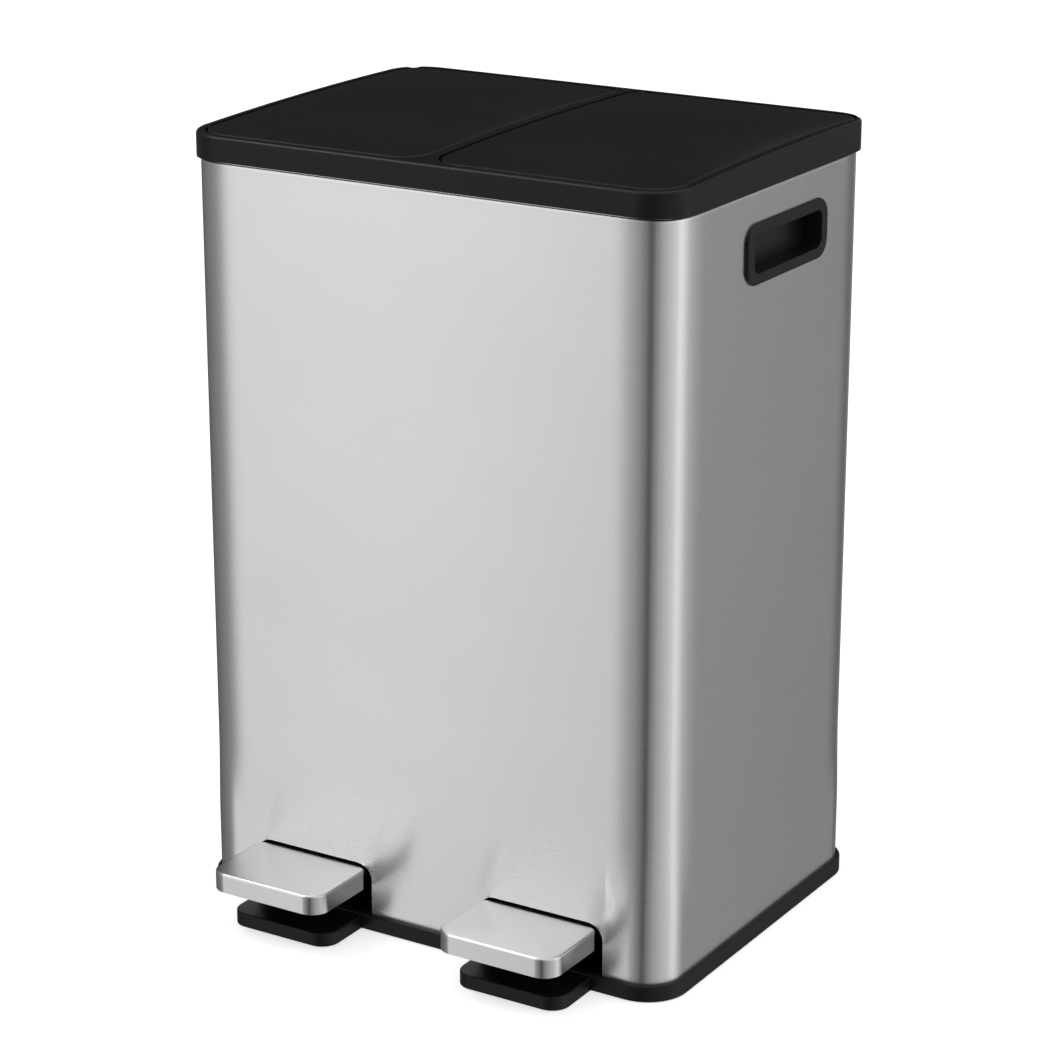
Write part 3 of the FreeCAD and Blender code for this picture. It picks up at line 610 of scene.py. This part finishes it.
@dataclass(frozen=True)
class Moulding:
    """Injection-moulded plastic or rubber with an even fine grain."""

    name: str
    shade: float
    roughness: float
    grain: float = 1500.0
    grain_depth: float = 0.00005
    hue: Point = (1.0, 1.0, 1.03)
    gloss: float = 0.5
    cloud_fineness: Point = (9.0, 9.0, 9.0)
    shade_swing: Swing = (-0.1, 0.12)
    rough_swing: Swing = (-0.03, 0.04)
    flow_fineness: Point = (35.0, 35.0, 35.0)
    flow_strength: float = 0.05
    flow_depth: float = 0.0001
    grain_strength: float = 0.35

    def material(self) -> bpy.types.Material:
        """Lay out the finish.

        Returns:
            The material.
        """
        board = Board(self.name)
        shader = board.shader
        shader.inputs["Specular IOR Level"].default_value = self.gloss
        clouds = board.noise(self.cloud_fineness, detail=4.0)
        board.tint(clouds, self.shade, self.shade_swing, self.hue)
        rough = board.spread(clouds, self.roughness, self.rough_swing)
        board.join(rough, "Result", shader, "Roughness")
        flow = board.noise(self.flow_fineness, detail=2.0)
        wave = board.relief(flow, "Fac", self.flow_strength, self.flow_depth)
        cells = board.add("ShaderNodeTexVoronoi", Scale=self.grain)
        board.join(board.place, "Object", cells, "Vector")
        relief = board.relief(cells, "Distance", self.grain_strength, self.grain_depth, wave)
        board.join(relief, "Normal", shader, "Normal")
        return board.material


FINISHES = {
    "wrap_steel": BrushedSteel("brushed wrap steel", Brush.ROUND_THE_BODY, (0.0, 0.0, 1.0)),
    "pedal_steel": BrushedSteel("brushed pedal steel", Brush.ALONG_THE_PEDAL, (0.0, 0.15, 1.0), shade=0.71,
                                roughness=0.24),
    "lid_plastic": Moulding("satin lid plastic", 0.007, 0.36, grain=1700.0, gloss=0.22),
    "rim_plastic": Moulding("satin rim plastic", 0.008, 0.30, grain=1700.0, gloss=0.25),
    "base_plastic": Moulding("matt base plastic", 0.009, 0.36, gloss=0.25),
    "grip_plastic": Moulding("satin grip plastic", 0.009, 0.34, gloss=0.28),
    "core_plastic": Moulding("matt core plastic", 0.02, 0.55, grain=1100.0),
    "liner_plastic": Moulding("matt liner plastic", 0.03, 0.5, grain=1100.0),
    "inner_plastic": Moulding("dark grey inner plastic", 0.045, 0.5, grain=1100.0),
    "bucket_plastic": Moulding("grey bucket plastic", 0.085, 0.42, grain=900.0),
    "rubber": Moulding("black rubber", 0.025, 0.8, grain=1400.0, grain_depth=0.00009, gloss=0.3),
    "zinc_steel": PlatedSteel("zinc plated sheet", 0.52, 0.36),
    "pin_steel": PlatedSteel("ground pin steel", 0.6, 0.24),
    "screw_steel": PlatedSteel("plated screw steel", 0.46, 0.34),
    "damper_body": Moulding("light grey damper plastic", 0.35, 0.4),
    "nylon": Moulding("natural nylon", 0.72, 0.45, hue=(1.0, 0.985, 0.94)),
}


class Wardrobe:
    """Makes each finish once and puts it on pieces and carried-over nodes."""

    def __init__(self) -> None:
        """Make the material of every slot in the record."""
        self.materials = {slot: finish.material() for slot, finish in FINISHES.items()}

    def dress(self, piece: bpy.types.Object, slot: str) -> None:
        """Give a piece the one material of its slot.

        Args:
            piece: the object to dress.
            slot: the record's material slot.
        """
        piece.data.materials.clear()
        piece.data.materials.append(self.materials[slot])

    def settle(self, piece: bpy.types.Object, body: str, slot: str, *nodes: str) -> None:
        """Dress a finished piece and let it ride on its body, in place of the nodes that it stands for.

        Args:
            piece: the finished object.
            body: the body that carries it.
            slot: the record's material slot.
            nodes: the solids that it replaces.
        """
        self.dress(piece, slot)
        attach(piece, body)
        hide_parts(*nodes)
        log.info("%s rides on %s, %d faces", piece.name, body, len(piece.data.polygons))

    def dress_nodes(self) -> None:
        """Dress every solid of the frame by the slot that the record gives it."""
        for part in frame["record"]["subparts"]:
            self.dress(frame["nodes"][part["node"]], part["material_slot"])


# ---- places
@dataclass(frozen=True)
class Crown:
    """The gentle arch that the rim and the lids share."""

    top: float = 0.6437
    middle_from_body: float = 0.060
    radius: float = 4.780

    def height(self, back: float) -> float:
        """Height of the rim's top at a place along the depth of the body.

        Args:
            back: distance back from the middle of the body.

        Returns:
            The height above the floor.
        """
        return self.top - (back - self.middle_from_body) ** 2 / (2 * self.radius)


CROWN = Crown()
BODY_LOW, BODY_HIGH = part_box("body_shell")
BODY_MIDDLE_BACK = (BODY_LOW.y + BODY_HIGH.y) / 2


# ---- steel body
@dataclass(frozen=True)
class Buckle:
    """A soft shallow valley in the sheet, which runs up from a corner of a cut-out."""

    foot: tuple[float, float]
    head: tuple[float, float]
    depth: float
    width: float
    deepest: float = 0.35
    fading: float = 0.42

    def depth_at(self, place: Vector) -> float:
        """How far the sheet is drawn in at a place on the front.

        Args:
            place: the point on the sheet.

        Returns:
            The depth of the valley there, in metres.
        """
        foot, head = Vector(self.foot), Vector(self.head)
        spot, run = Vector((place.x, place.z)) - foot, head - foot
        share = spot.dot(run) / run.length_squared
        off = (spot - run * share).length / self.width
        fade = math.exp(-((share - self.deepest) / self.fading) ** 2)
        return self.depth * fade * math.exp(-off ** 2)


BUCKLES = (
    Buckle((-0.050, 0.048), (-0.022, 0.105), 0.00060, 0.0095),
    Buckle((-0.160, 0.060), (-0.140, 0.115), 0.00030, 0.0065),
    Buckle((0.058, 0.060), (0.078, 0.115), 0.00030, 0.0065),
    Buckle((0.163, 0.046), (0.176, 0.110), 0.00055, 0.0085),
)


@dataclass
class SteelWrap:
    """The wrapped steel sheet, with pedal cut-outs, grip openings and the joint at the back."""

    wardrobe: Wardrobe
    corner: Round = Round(0.053, 36, 0.665)
    sheet: float = 0.0006
    neck_heights: tuple[float, ...] = (0.6150, 0.6158, 0.6165, 0.6171, 0.6175, 0.6178)
    neck_inset: tuple[float, ...] = (0.0, 0.00005, 0.00018, 0.00042, 0.00072, 0.00105)
    held_corner: float = 0.031
    held_top: float = 0.062
    free_bottom: float = 0.135
    relaxed_top: float = 0.17
    relaxed_half: float = 0.166
    square: float = 0.0042
    cutout_width: float = 0.113
    cutout_top: float = 0.0563
    cutout_corner: Round = Round(0.014, 8)
    cutout_from_middle: float = 0.108
    opening_width: float = 0.118
    opening_height: float = 0.036
    opening_corner: Round = Round(0.009, 6)
    joint_width: float = 0.0007
    cutter_reach: float = 0.012

    def cutout(self, side: Side) -> bpy.types.Object:
        """Cutter of one pedal cut-out.

        Args:
            side: which pedal it is for.

        Returns:
            The cutter.
        """
        x, half = side.value * self.cutout_from_middle, self.cutout_width / 2
        cutter = Bench.block("cutout", (x - half, BODY_LOW.y - self.cutter_reach, -self.cutout_top),
                             (x + half, BODY_LOW.y + self.cutter_reach, self.cutout_top))
        Bench.round_edges(cutter, self.cutout_corner,
                          lambda a, b: min(a.z, b.z) > 0 and (a - b).xz.length < TOUCH)
        return cutter

    def opening(self, side: Side) -> bpy.types.Object:
        """Cutter of one grip opening.

        Args:
            side: which grip it is for.

        Returns:
            The cutter.
        """
        low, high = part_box(f"grip_frame_{side.label}")
        middle = (low + high) / 2
        half = Vector((self.cutter_reach, self.opening_width / 2, self.opening_height / 2))
        middle.x = side.value * BODY_HIGH.x
        cutter = Bench.block("opening", middle - half, middle + half)
        Bench.round_edges(cutter, self.opening_corner, Bench.through)
        return cutter

    def neck(self, wrap: bpy.types.Object) -> None:
        """Draw the sheet in a little where it goes up into the rim.

        Args:
            wrap: the open sheet.
        """
        half = (BODY_HIGH - BODY_LOW) / 2
        last = 0.0
        with Bench.editing(wrap):
            for height, inset in zip(self.neck_heights, self.neck_inset):
                Bench.score((0, 0, height), (0, 0, 1))
                Bench.pick_edges(wrap, lambda a, b, level=height: min(a.z, b.z) > level - SLACK)
                step = inset - last
                bpy.ops.transform.resize(value=(1 - step / half.x, 1 - step / half.y, 1),
                                         center_override=(0, BODY_MIDDLE_BACK, height))
                last = inset

    def hold(self, place: Vector) -> None:
        """Bring a point of the sheet's low corners out to the tighter corner that the base holds.

        Args:
            place: the point, which is moved.
        """
        share = min(max((self.free_bottom - place.z) / (self.free_bottom - self.held_top), 0.0), 1.0)
        half = (BODY_HIGH - BODY_LOW) / 2
        spot = Vector((place.x, place.y - BODY_MIDDLE_BACK))
        heart = Vector((math.copysign(half.x - self.held_corner, spot.x),
                        math.copysign(half.y - self.held_corner, spot.y)))
        off = spot - heart
        if off.x * heart.x > 0 and off.y * heart.y > 0:
            held = off.normalized() * self.held_corner
        elif off.x * heart.x > 0:
            held = Vector((math.copysign(self.held_corner, heart.x), off.y))
        else:
            held = Vector((off.x, math.copysign(self.held_corner, heart.y)))
        moved = heart + off.lerp(held, share * share * (3 - 2 * share))
        place.x, place.y = moved.x, moved.y + BODY_MIDDLE_BACK

    def relax(self, wrap: bpy.types.Object) -> None:
        """Tighten the sheet's low corners, and let it buckle softly above the pedal cut-outs.

        Args:
            wrap: the open sheet.
        """
        front = BODY_LOW.y
        columns = int(2 * self.relaxed_half / self.square)
        rows = int(self.relaxed_top / self.square)
        with Bench.editing(wrap, "VERT"):
            for column in range(columns + 1):
                Bench.score((column * self.square - self.relaxed_half, 0, 0), (1, 0, 0))
            for row in range(1, rows):
                Bench.score((0, 0, BODY_LOW.z + row * self.square), (0, 0, 1))
            sheet = bmesh.from_edit_mesh(wrap.data)
            for vertex in sheet.verts:
                self.hold(vertex.co)
                if abs(vertex.co.y - front) < TOUCH and vertex.co.z < self.relaxed_top:
                    vertex.co.y += sum(buckle.depth_at(vertex.co) for buckle in BUCKLES)
            bmesh.update_edit_mesh(wrap.data)

    def build(self) -> None:
        """Model the sheet and settle it on the bin."""
        wrap = Bench.block("steel_wrap", BODY_LOW, BODY_HIGH)
        Bench.round_edges(wrap, self.corner, Bench.upright)
        with Bench.editing(wrap, "FACE"):
            Bench.pick_facing(wrap, lambda up: abs(up) > FACING)
            bpy.ops.mesh.delete(type="FACE")
        self.neck(wrap)
        self.relax(wrap)
        Bench.apply(wrap, "SOLIDIFY", thickness=self.sheet, offset=-1.0, use_even_offset=True)
        half_joint = self.joint_width / 2
        joint = Bench.block("joint", (-half_joint, BODY_HIGH.y - self.sheet / 2, BODY_LOW.z - PAST),
                            (half_joint, BODY_HIGH.y + self.sheet, BODY_HIGH.z + PAST))
        Bench.cut(wrap, joint, *(self.cutout(side) for side in Side),
                  *(self.opening(side) for side in Side))
        Bench.smooth(wrap)
        self.wardrobe.settle(wrap, "bin", "wrap_steel", "body_shell")


# ---- lids
@dataclass
class LidCover:
    """One crowned lid panel with a turned-down skirt and two hinge notches."""

    wardrobe: Wardrobe
    side: Side
    front_corner: Round = Round(0.0246, 12)
    back_corner: Round = Round(0.015, 10)
    pillow: float = 0.0066
    gap: float = 0.0002
    ceiling: float = 0.64975
    wall: float = 0.0024
    edge_round: Round = Round(0.0028, 6)
    long_edge: float = 0.1
    side_cuts: int = 15
    rings: tuple[float, ...] = (0.96, 0.935, 0.905, 0.87, 0.825, 0.77, 0.70, 0.61, 0.5, 0.38, 0.25,
                                0.12, 0.03)
    skirt_facing: float = 0.3
    top_facing: float = 0.8
    sharp_from: float = 40.0
    across_fullness: float = 4.6
    along_fullness: float = 2.3
    notch_half: float = 0.0128
    notch_depth: float = 0.015
    notch_top: float = 0.6414
    hinge_from_middle: float = 0.05
    hinge_middle: float = 0.108
    hinge_inset: float = 0.007
    hinge_height: float = 0.638
    swing_radius: float = 0.0037

    def top_height(self, place: Vector, middle: Vector, half: Vector) -> float:
        """Height of the panel's surface over a point of its outline or inside it.

        Args:
            place: the point.
            middle: the middle of the lid.
            half: half its size.

        Returns:
            The height above the floor.
        """
        across = (place.x - middle.x) / half.x
        along = (place.y - middle.y) / half.y
        swell_across = 1 - abs(across) ** self.across_fullness
        swell_along = 1 - abs(along) ** self.along_fullness
        pillow = self.pillow * swell_across * swell_along
        return min(CROWN.height(place.y - BODY_MIDDLE_BACK) + pillow - self.gap, self.ceiling)

    def notches(self, low: Vector, high: Vector) -> list[bpy.types.Object]:
        """Cutters that clear the rim's hinge ears.

        Args:
            low: the lid's lowest corner.
            high: its highest corner.

        Returns:
            The cutters.
        """
        cutters = []
        hinge_back = high.y - self.hinge_inset
        for away in (-self.hinge_from_middle, self.hinge_from_middle):
            x = self.side.value * (self.hinge_middle + away)
            start, end = x - self.notch_half, x + self.notch_half
            cutters += [Bench.block("notch", (start, high.y - self.notch_depth, low.z - PAST),
                                    (end, high.y + PAST, self.notch_top)),
                        Bench.bar_across("swing", self.swing_radius,
                                         (start, hinge_back, self.hinge_height), 2 * self.notch_half)]
        return cutters

    def brow(self, edge: bmesh.types.BMEdge) -> bool:
        """Whether an edge of the panel lies between its skirt and its top."""
        facing = sorted(abs(face.normal.z) for face in edge.link_faces)
        return len(facing) == 2 and facing[0] < self.skirt_facing and facing[1] > self.top_facing

    def build(self) -> None:
        """Model the panel and settle it on its lid."""
        node = f"lid_cover_{self.side.label}"
        low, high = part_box(node)
        middle, half = (low + high) / 2, (high - low) / 2
        panel = Bench.block(f"lid_panel_{self.side.label}", low, (high.x, high.y, CROWN.top))
        Bench.round_edges(panel, self.front_corner, lambda a, b: Bench.upright(a, b) and a.y < middle.y)
        Bench.round_edges(panel, self.back_corner, lambda a, b: Bench.upright(a, b) and a.y > middle.y)
        with Bench.editing(panel):
            Bench.pick_edges(panel, lambda a, b: (a - b).length > self.long_edge)
            bpy.ops.mesh.subdivide(number_cuts=self.side_cuts)
        with Bench.editing(panel, "FACE"):
            Bench.pick_facing(panel, lambda up: up < -FACING)
            bpy.ops.mesh.delete(type="FACE")
            Bench.pick_facing(panel, lambda up: up > FACING)
            last = 1.0
            for ring in self.rings:
                bpy.ops.mesh.extrude_region_move()
                share = ring / last
                bpy.ops.transform.resize(value=(share, share, 1),
                                         center_override=(middle.x, middle.y, CROWN.top))
                last = ring
            shape = bmesh.from_edit_mesh(panel.data)
            for vertex in shape.verts:
                if vertex.co.z > low.z + self.wall:
                    vertex.co.z = self.top_height(vertex.co, middle, half)
            bmesh.update_edit_mesh(panel.data)
        with Bench.editing(panel):
            Bench.pick(panel, "edges", self.brow)
            Bench.bevel(self.edge_round)
        Bench.apply(panel, "SOLIDIFY", thickness=self.wall, offset=-1.0, use_even_offset=True)
        Bench.cut(panel, *self.notches(low, high))
        Bench.smooth(panel, self.sharp_from)
        self.wardrobe.settle(panel, f"lid_{self.side.label}", "lid_plastic", node)


# ---- pedals
@dataclass
class PedalCover:
    """One drawn steel cap with round corners, a soft edge and a notch for the core's tail."""

    wardrobe: Wardrobe
    side: Side
    front_corner: Round = Round(0.0155, 14)
    back_corner: Round = Round(0.008, 8)
    edge_round: Round = Round(0.0019, 6)
    sheet: float = 0.0012
    crown: float = 0.0004
    crown_reach: float = 0.96
    crown_rings: tuple[float, ...] = (0.93, 0.86, 0.74, 0.56, 0.35, 0.12)
    tail_half: float = 0.0462
    tail_depth: float = 0.003
    tail_low: float = 0.0133
    tail_top: float = 0.0021

    def arch(self, cap: bpy.types.Object, middle: Vector, half: Vector, flat_top: float) -> None:
        """Lift the flat top into a slight crown.

        Args:
            cap: the open cap in edit mode, with its top picked.
            middle: the middle of the cap.
            half: half its size.
            flat_top: the height of the flat top.
        """
        for share in self.crown_rings:
            bpy.ops.mesh.extrude_region_move()
            Bench.shrink_picked(cap, middle, half, share)
        shape = bmesh.from_edit_mesh(cap.data)
        for vertex in shape.verts:
            if vertex.co.z > flat_top - SLACK:
                across = abs(vertex.co.x - middle.x) / half.x
                along = abs(vertex.co.y - middle.y) / half.y
                off = min(max(across, along) / self.crown_reach, 1.0)
                vertex.co.z += self.crown * (1 - off ** 2)
        bmesh.update_edit_mesh(cap.data)

    def build(self) -> None:
        """Model the cap and settle it on its pedal."""
        node = f"pedal_cover_{self.side.label}"
        low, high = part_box(node)
        middle, half = (low + high) / 2, (high - low) / 2
        flat_top = high.z - self.crown
        cap = Bench.block(f"pedal_cap_{self.side.label}", low, (high.x, high.y, flat_top))
        Bench.round_edges(cap, self.front_corner, lambda a, b: Bench.upright(a, b) and a.y < middle.y)
        Bench.round_edges(cap, self.back_corner, lambda a, b: Bench.upright(a, b) and a.y > middle.y)
        with Bench.editing(cap, "FACE"):
            Bench.pick_facing(cap, lambda up: up < -FACING)
            bpy.ops.mesh.delete(type="FACE")
        Bench.round_edges(cap, self.edge_round, lambda a, b: min(a.z, b.z) > flat_top - SLACK)
        with Bench.editing(cap, "FACE"):
            Bench.pick_facing(cap, lambda up: up > LEVEL)
            self.arch(cap, middle, half, flat_top)
        Bench.apply(cap, "SOLIDIFY", thickness=self.sheet, offset=-1.0, use_even_offset=True)
        notch = Bench.block("notch",
                            (middle.x - self.tail_half, high.y - self.tail_depth, high.z - self.tail_low),
                            (middle.x + self.tail_half, high.y + PAST, high.z - self.tail_top))
        Bench.cut(cap, notch)
        Bench.smooth(cap)
        self.wardrobe.settle(cap, f"pedal_{self.side.label}", "pedal_steel", node)


# ---- grips
@dataclass
class GripFrame:
    """One moulded frame round a grip opening, with a full outer round and a fine inner edge."""

    wardrobe: Wardrobe
    side: Side
    outer_corner: Round = Round(0.015, 14)
    opening_width: float = 0.111
    opening_height: float = 0.0295
    opening_corner: Round = Round(0.007, 10)
    outer_round: Round = Round(0.0024, 7)
    inner_round: Round = Round(0.0009, 4)
    cutter_reach: float = 0.02

    def build(self) -> None:
        """Model the frame and settle it on the bin."""
        node = f"grip_frame_{self.side.label}"
        low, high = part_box(node)
        middle = (low + high) / 2
        face = high.x if self.side is Side.RIGHT else low.x
        half = Vector((self.cutter_reach, self.opening_width / 2, self.opening_height / 2))

        def outside(end: Vector) -> bool:
            """Whether an end lies on the outer face."""
            return abs(end.x - face) < TOUCH

        def round_opening(end: Vector) -> bool:
            """Whether an end lies on the rim of the opening in the outer face."""
            off = end - middle
            return outside(end) and abs(off.y) < half.y + SLACK and abs(off.z) < half.z + SLACK

        ring = Bench.block(f"grip_ring_{self.side.label}", low, high)
        Bench.round_edges(ring, self.outer_corner, Bench.through)
        Bench.round_edges(ring, self.outer_round, lambda a, b: outside(a) and outside(b))
        opening = Bench.block("opening", middle - half, middle + half)
        Bench.round_edges(opening, self.opening_corner, Bench.through)
        Bench.cut(ring, opening)
        Bench.round_edges(ring, self.inner_round, lambda a, b: round_opening(a) and round_opening(b))
        Bench.smooth(ring)
        self.wardrobe.settle(ring, "bin", "grip_plastic", node)


# ---- copied pieces
@dataclass
class SmoothedCopies:
    """Pieces whose solids already have the right shape, copied and shaded smooth."""

    wardrobe: Wardrobe
    nodes: tuple[str, ...]
    sharp_from: float = 28.0

    def build(self) -> None:
        """Copy each node into a smooth piece that replaces it."""
        slots = {part["node"]: part["material_slot"] for part in frame["record"]["subparts"]}
        for node in self.nodes:
            source = frame["nodes"][node]
            piece = bpy.data.objects.new(f"{node}_smooth", source.data.copy())
            bpy.context.scene.collection.objects.link(piece)
            Bench.join_flats(piece)
            Bench.smooth(piece, self.sharp_from)
            self.wardrobe.settle(piece, source["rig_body"], slots[node], node)


# ---- studio
@dataclass
class Studio:
    """Pale floor, soft surrounding light and the camera.

    The panels are the light that the bin sees round it, each as its azimuth in degrees
    from the front to the right, and its brightness.
    """

    panels: tuple[tuple[float, float], ...] = (
        (-180, 0.34), (-168, 0.20), (-157, 0.03), (-140, 0.03), (-120, 0.11), (-96, 0.16), (-79, 0.20),
        (-60, 0.25), (-47.5, 0.36), (-41.5, 0.66), (-37, 1.0), (-32, 1.0), (-29, 0.66), (-24, 0.43),
        (-12, 0.34), (0, 0.22), (15, 0.07), (29, 0.26), (50, 0.44), (72, 0.58), (94, 0.72), (107, 0.98),
        (118, 0.84), (132, 0.52), (145, 0.41), (150, 0.36), (155, 0.24), (162, 0.14))
    panel_foot: float = -0.45
    panel_top: float = 0.12
    light_at_foot: float = 0.86
    light_at_top: float = 1.32
    ceiling_foot: float = 0.55
    ceiling_full: float = 0.9
    ceiling_shade: float = 0.95
    floor_size: float = 12.0
    floor_shade: float = 0.8
    floor_glow: float = 0.62
    camera_azimuth: float = 31.58
    camera_elevation: float = 18.21
    camera_distance: float = 2.6435
    aim: Point = (-0.0012, 0.0280, 0.3112)
    focal_share: float = 3.0948
    sensor_width: float = 36.0
    softbox_azimuth: float = -57.0
    softbox_elevation: float = 52.0
    softbox_distance: float = 2.6
    softbox_size: tuple[float, float] = (1.1, 0.34)
    softbox_light: float = 9.0

    @staticmethod
    def grey(light: float) -> tuple[float, float, float, float]:
        """An even grey as a colour for a socket."""
        return light, light, light, 1.0

    def floor(self) -> None:
        """Lay a pale floor that catches the bin's shadow and looks white round it."""
        bpy.ops.object.select_all(action="DESELECT")
        bpy.ops.mesh.primitive_plane_add(size=self.floor_size, location=(0, 0, 0))
        floor = bpy.context.object
        floor.name = "floor"
        material = bpy.data.materials.new("pale floor")
        tree = Tree(material)
        diffuse = tree.add("ShaderNodeBsdfDiffuse", Color=self.grey(self.floor_shade))
        glow = tree.add("ShaderNodeEmission", Color=self.grey(1.0))
        seen = tree.times(tree.add("ShaderNodeLightPath"), "Is Camera Ray", self.floor_glow)
        tree.join(seen, 0, glow, "Strength")
        both = tree.add("ShaderNodeAddShader")
        tree.join(diffuse, 0, both, 0)
        tree.join(glow, 0, both, 1)
        clear = tree.add("ShaderNodeBsdfTransparent")
        surface = tree.choose("Is Glossy Ray", both, clear)
        tree.join(surface, 0, tree.add("ShaderNodeOutputMaterial"), "Surface")
        floor.data.materials.append(material)

    def panel_light(self, tree: Tree, direction: bpy.types.Node) -> bpy.types.Node:
        """Light of the panels that stand round the bin.

        Args:
            tree: the world's node tree.
            direction: the node that parts the direction of view into X, Y and Z.

        Returns:
            The node that gives their colour.
        """
        turn = tree.add("ShaderNodeMath", operation="ARCTAN2")
        tree.join(direction, "X", turn, 0)
        tree.join(tree.times(direction, "Y", -1.0), 0, turn, 1)
        share = tree.add("ShaderNodeMapRange", From_Min=-math.pi, From_Max=math.pi)
        tree.join(turn, 0, share, "Value")
        ramp = tree.add("ShaderNodeValToRGB")
        ramp.color_ramp.interpolation = "EASE"
        elements = ramp.color_ramp.elements
        while len(elements) < len(self.panels):
            elements.new(0.5)
        for element, (degrees, light) in zip(elements, self.panels):
            element.position = (degrees + 180) / 360
            element.color = self.grey(light)
        tree.join(share, 0, ramp, "Fac")
        slope = tree.add("ShaderNodeMapRange", From_Min=self.panel_foot, From_Max=self.panel_top,
                         To_Min=self.light_at_foot, To_Max=self.light_at_top)
        tree.join(direction, "Z", slope, "Value")
        shaded = tree.add("ShaderNodeVectorMath", operation="SCALE")
        tree.join(ramp, "Color", shaded, 0)
        tree.join(slope, 0, shaded, "Scale")
        return shaded

    def surroundings(self) -> None:
        """Light the bin from a studio of soft panels and darker gaps, white to the camera."""
        world = bpy.data.worlds.new("studio")
        bpy.context.scene.world = world
        tree = Tree(world)
        direction = tree.add("ShaderNodeSeparateXYZ")
        tree.join(tree.add("ShaderNodeTexCoord"), "Generated", direction, 0)
        overhead = tree.add("ShaderNodeMapRange", interpolation_type="SMOOTHSTEP",
                            From_Min=self.ceiling_foot, From_Max=self.ceiling_full)
        tree.join(direction, "Z", overhead, "Value")
        mix = tree.add("ShaderNodeMix", data_type="RGBA", B=self.grey(self.ceiling_shade))
        tree.join(overhead, 0, mix, "Factor")
        tree.join(self.panel_light(tree, direction), 0, mix, "A")
        studio = tree.add("ShaderNodeBackground")
        tree.join(mix, "Result", studio, "Color")
        white = tree.add("ShaderNodeBackground", Color=self.grey(1.0))
        surface = tree.choose("Is Camera Ray", studio, white)
        tree.join(surface, 0, tree.add("ShaderNodeOutputWorld"), "Surface")

    @staticmethod
    def toward(azimuth: float, elevation: float) -> Vector:
        """Direction that leads away from the bin.

        Args:
            azimuth: degrees from the front to the right.
            elevation: degrees up from the floor.

        Returns:
            The direction, one metre long.
        """
        turn, tilt = math.radians(azimuth), math.radians(elevation)
        return Vector((math.sin(turn) * math.cos(tilt), -math.cos(turn) * math.cos(tilt), math.sin(tilt)))

    def softbox(self) -> None:
        """Hang one bright soft panel that draws the fine lines along the edges."""
        away = self.toward(self.softbox_azimuth, self.softbox_elevation)
        bpy.ops.object.light_add(type="AREA", location=Vector(self.aim) + away * self.softbox_distance)
        panel = bpy.context.object
        panel.name = "softbox"
        panel.rotation_euler = away.to_track_quat("Z", "Y").to_euler()
        panel.data.shape = "RECTANGLE"
        panel.data.size, panel.data.size_y = self.softbox_size
        panel.data.energy = self.softbox_light * math.pi * self.softbox_size[0] * self.softbox_size[1]

    def camera(self) -> None:
        """Put the camera where the photograph was taken from."""
        data = bpy.data.cameras.new("camera")
        camera = bpy.data.objects.new("camera", data)
        bpy.context.scene.collection.objects.link(camera)
        away = self.toward(self.camera_azimuth, self.camera_elevation)
        camera.location = Vector(self.aim) + away * self.camera_distance
        camera.rotation_mode = "QUATERNION"
        camera.rotation_quaternion = away.to_track_quat("Z", "Y")
        data.sensor_width = self.sensor_width
        data.lens = data.sensor_width * self.focal_share
        bpy.context.scene.camera = camera

    def build(self) -> None:
        """Set up the floor, the light and the camera."""
        self.floor()
        self.surroundings()
        self.softbox()
        self.camera()
        bpy.context.scene.view_settings.view_transform = "Standard"


def main() -> None:
    """Build and dress every piece."""
    logging.basicConfig(level=logging.INFO, format="%(message)s")
    wardrobe = Wardrobe()
    wardrobe.dress_nodes()
    SteelWrap(wardrobe).build()
    for side in Side:
        LidCover(wardrobe, side).build()
        PedalCover(wardrobe, side).build()
        GripFrame(wardrobe, side).build()
    modelled = ("body_shell", "lid_cover", "pedal_cover", "grip_frame")
    SmoothedCopies(wardrobe, tuple(node for node in frame["nodes"] if not node.startswith(modelled))).build()
    Studio().build()


if __name__ == "__main__":
    main()
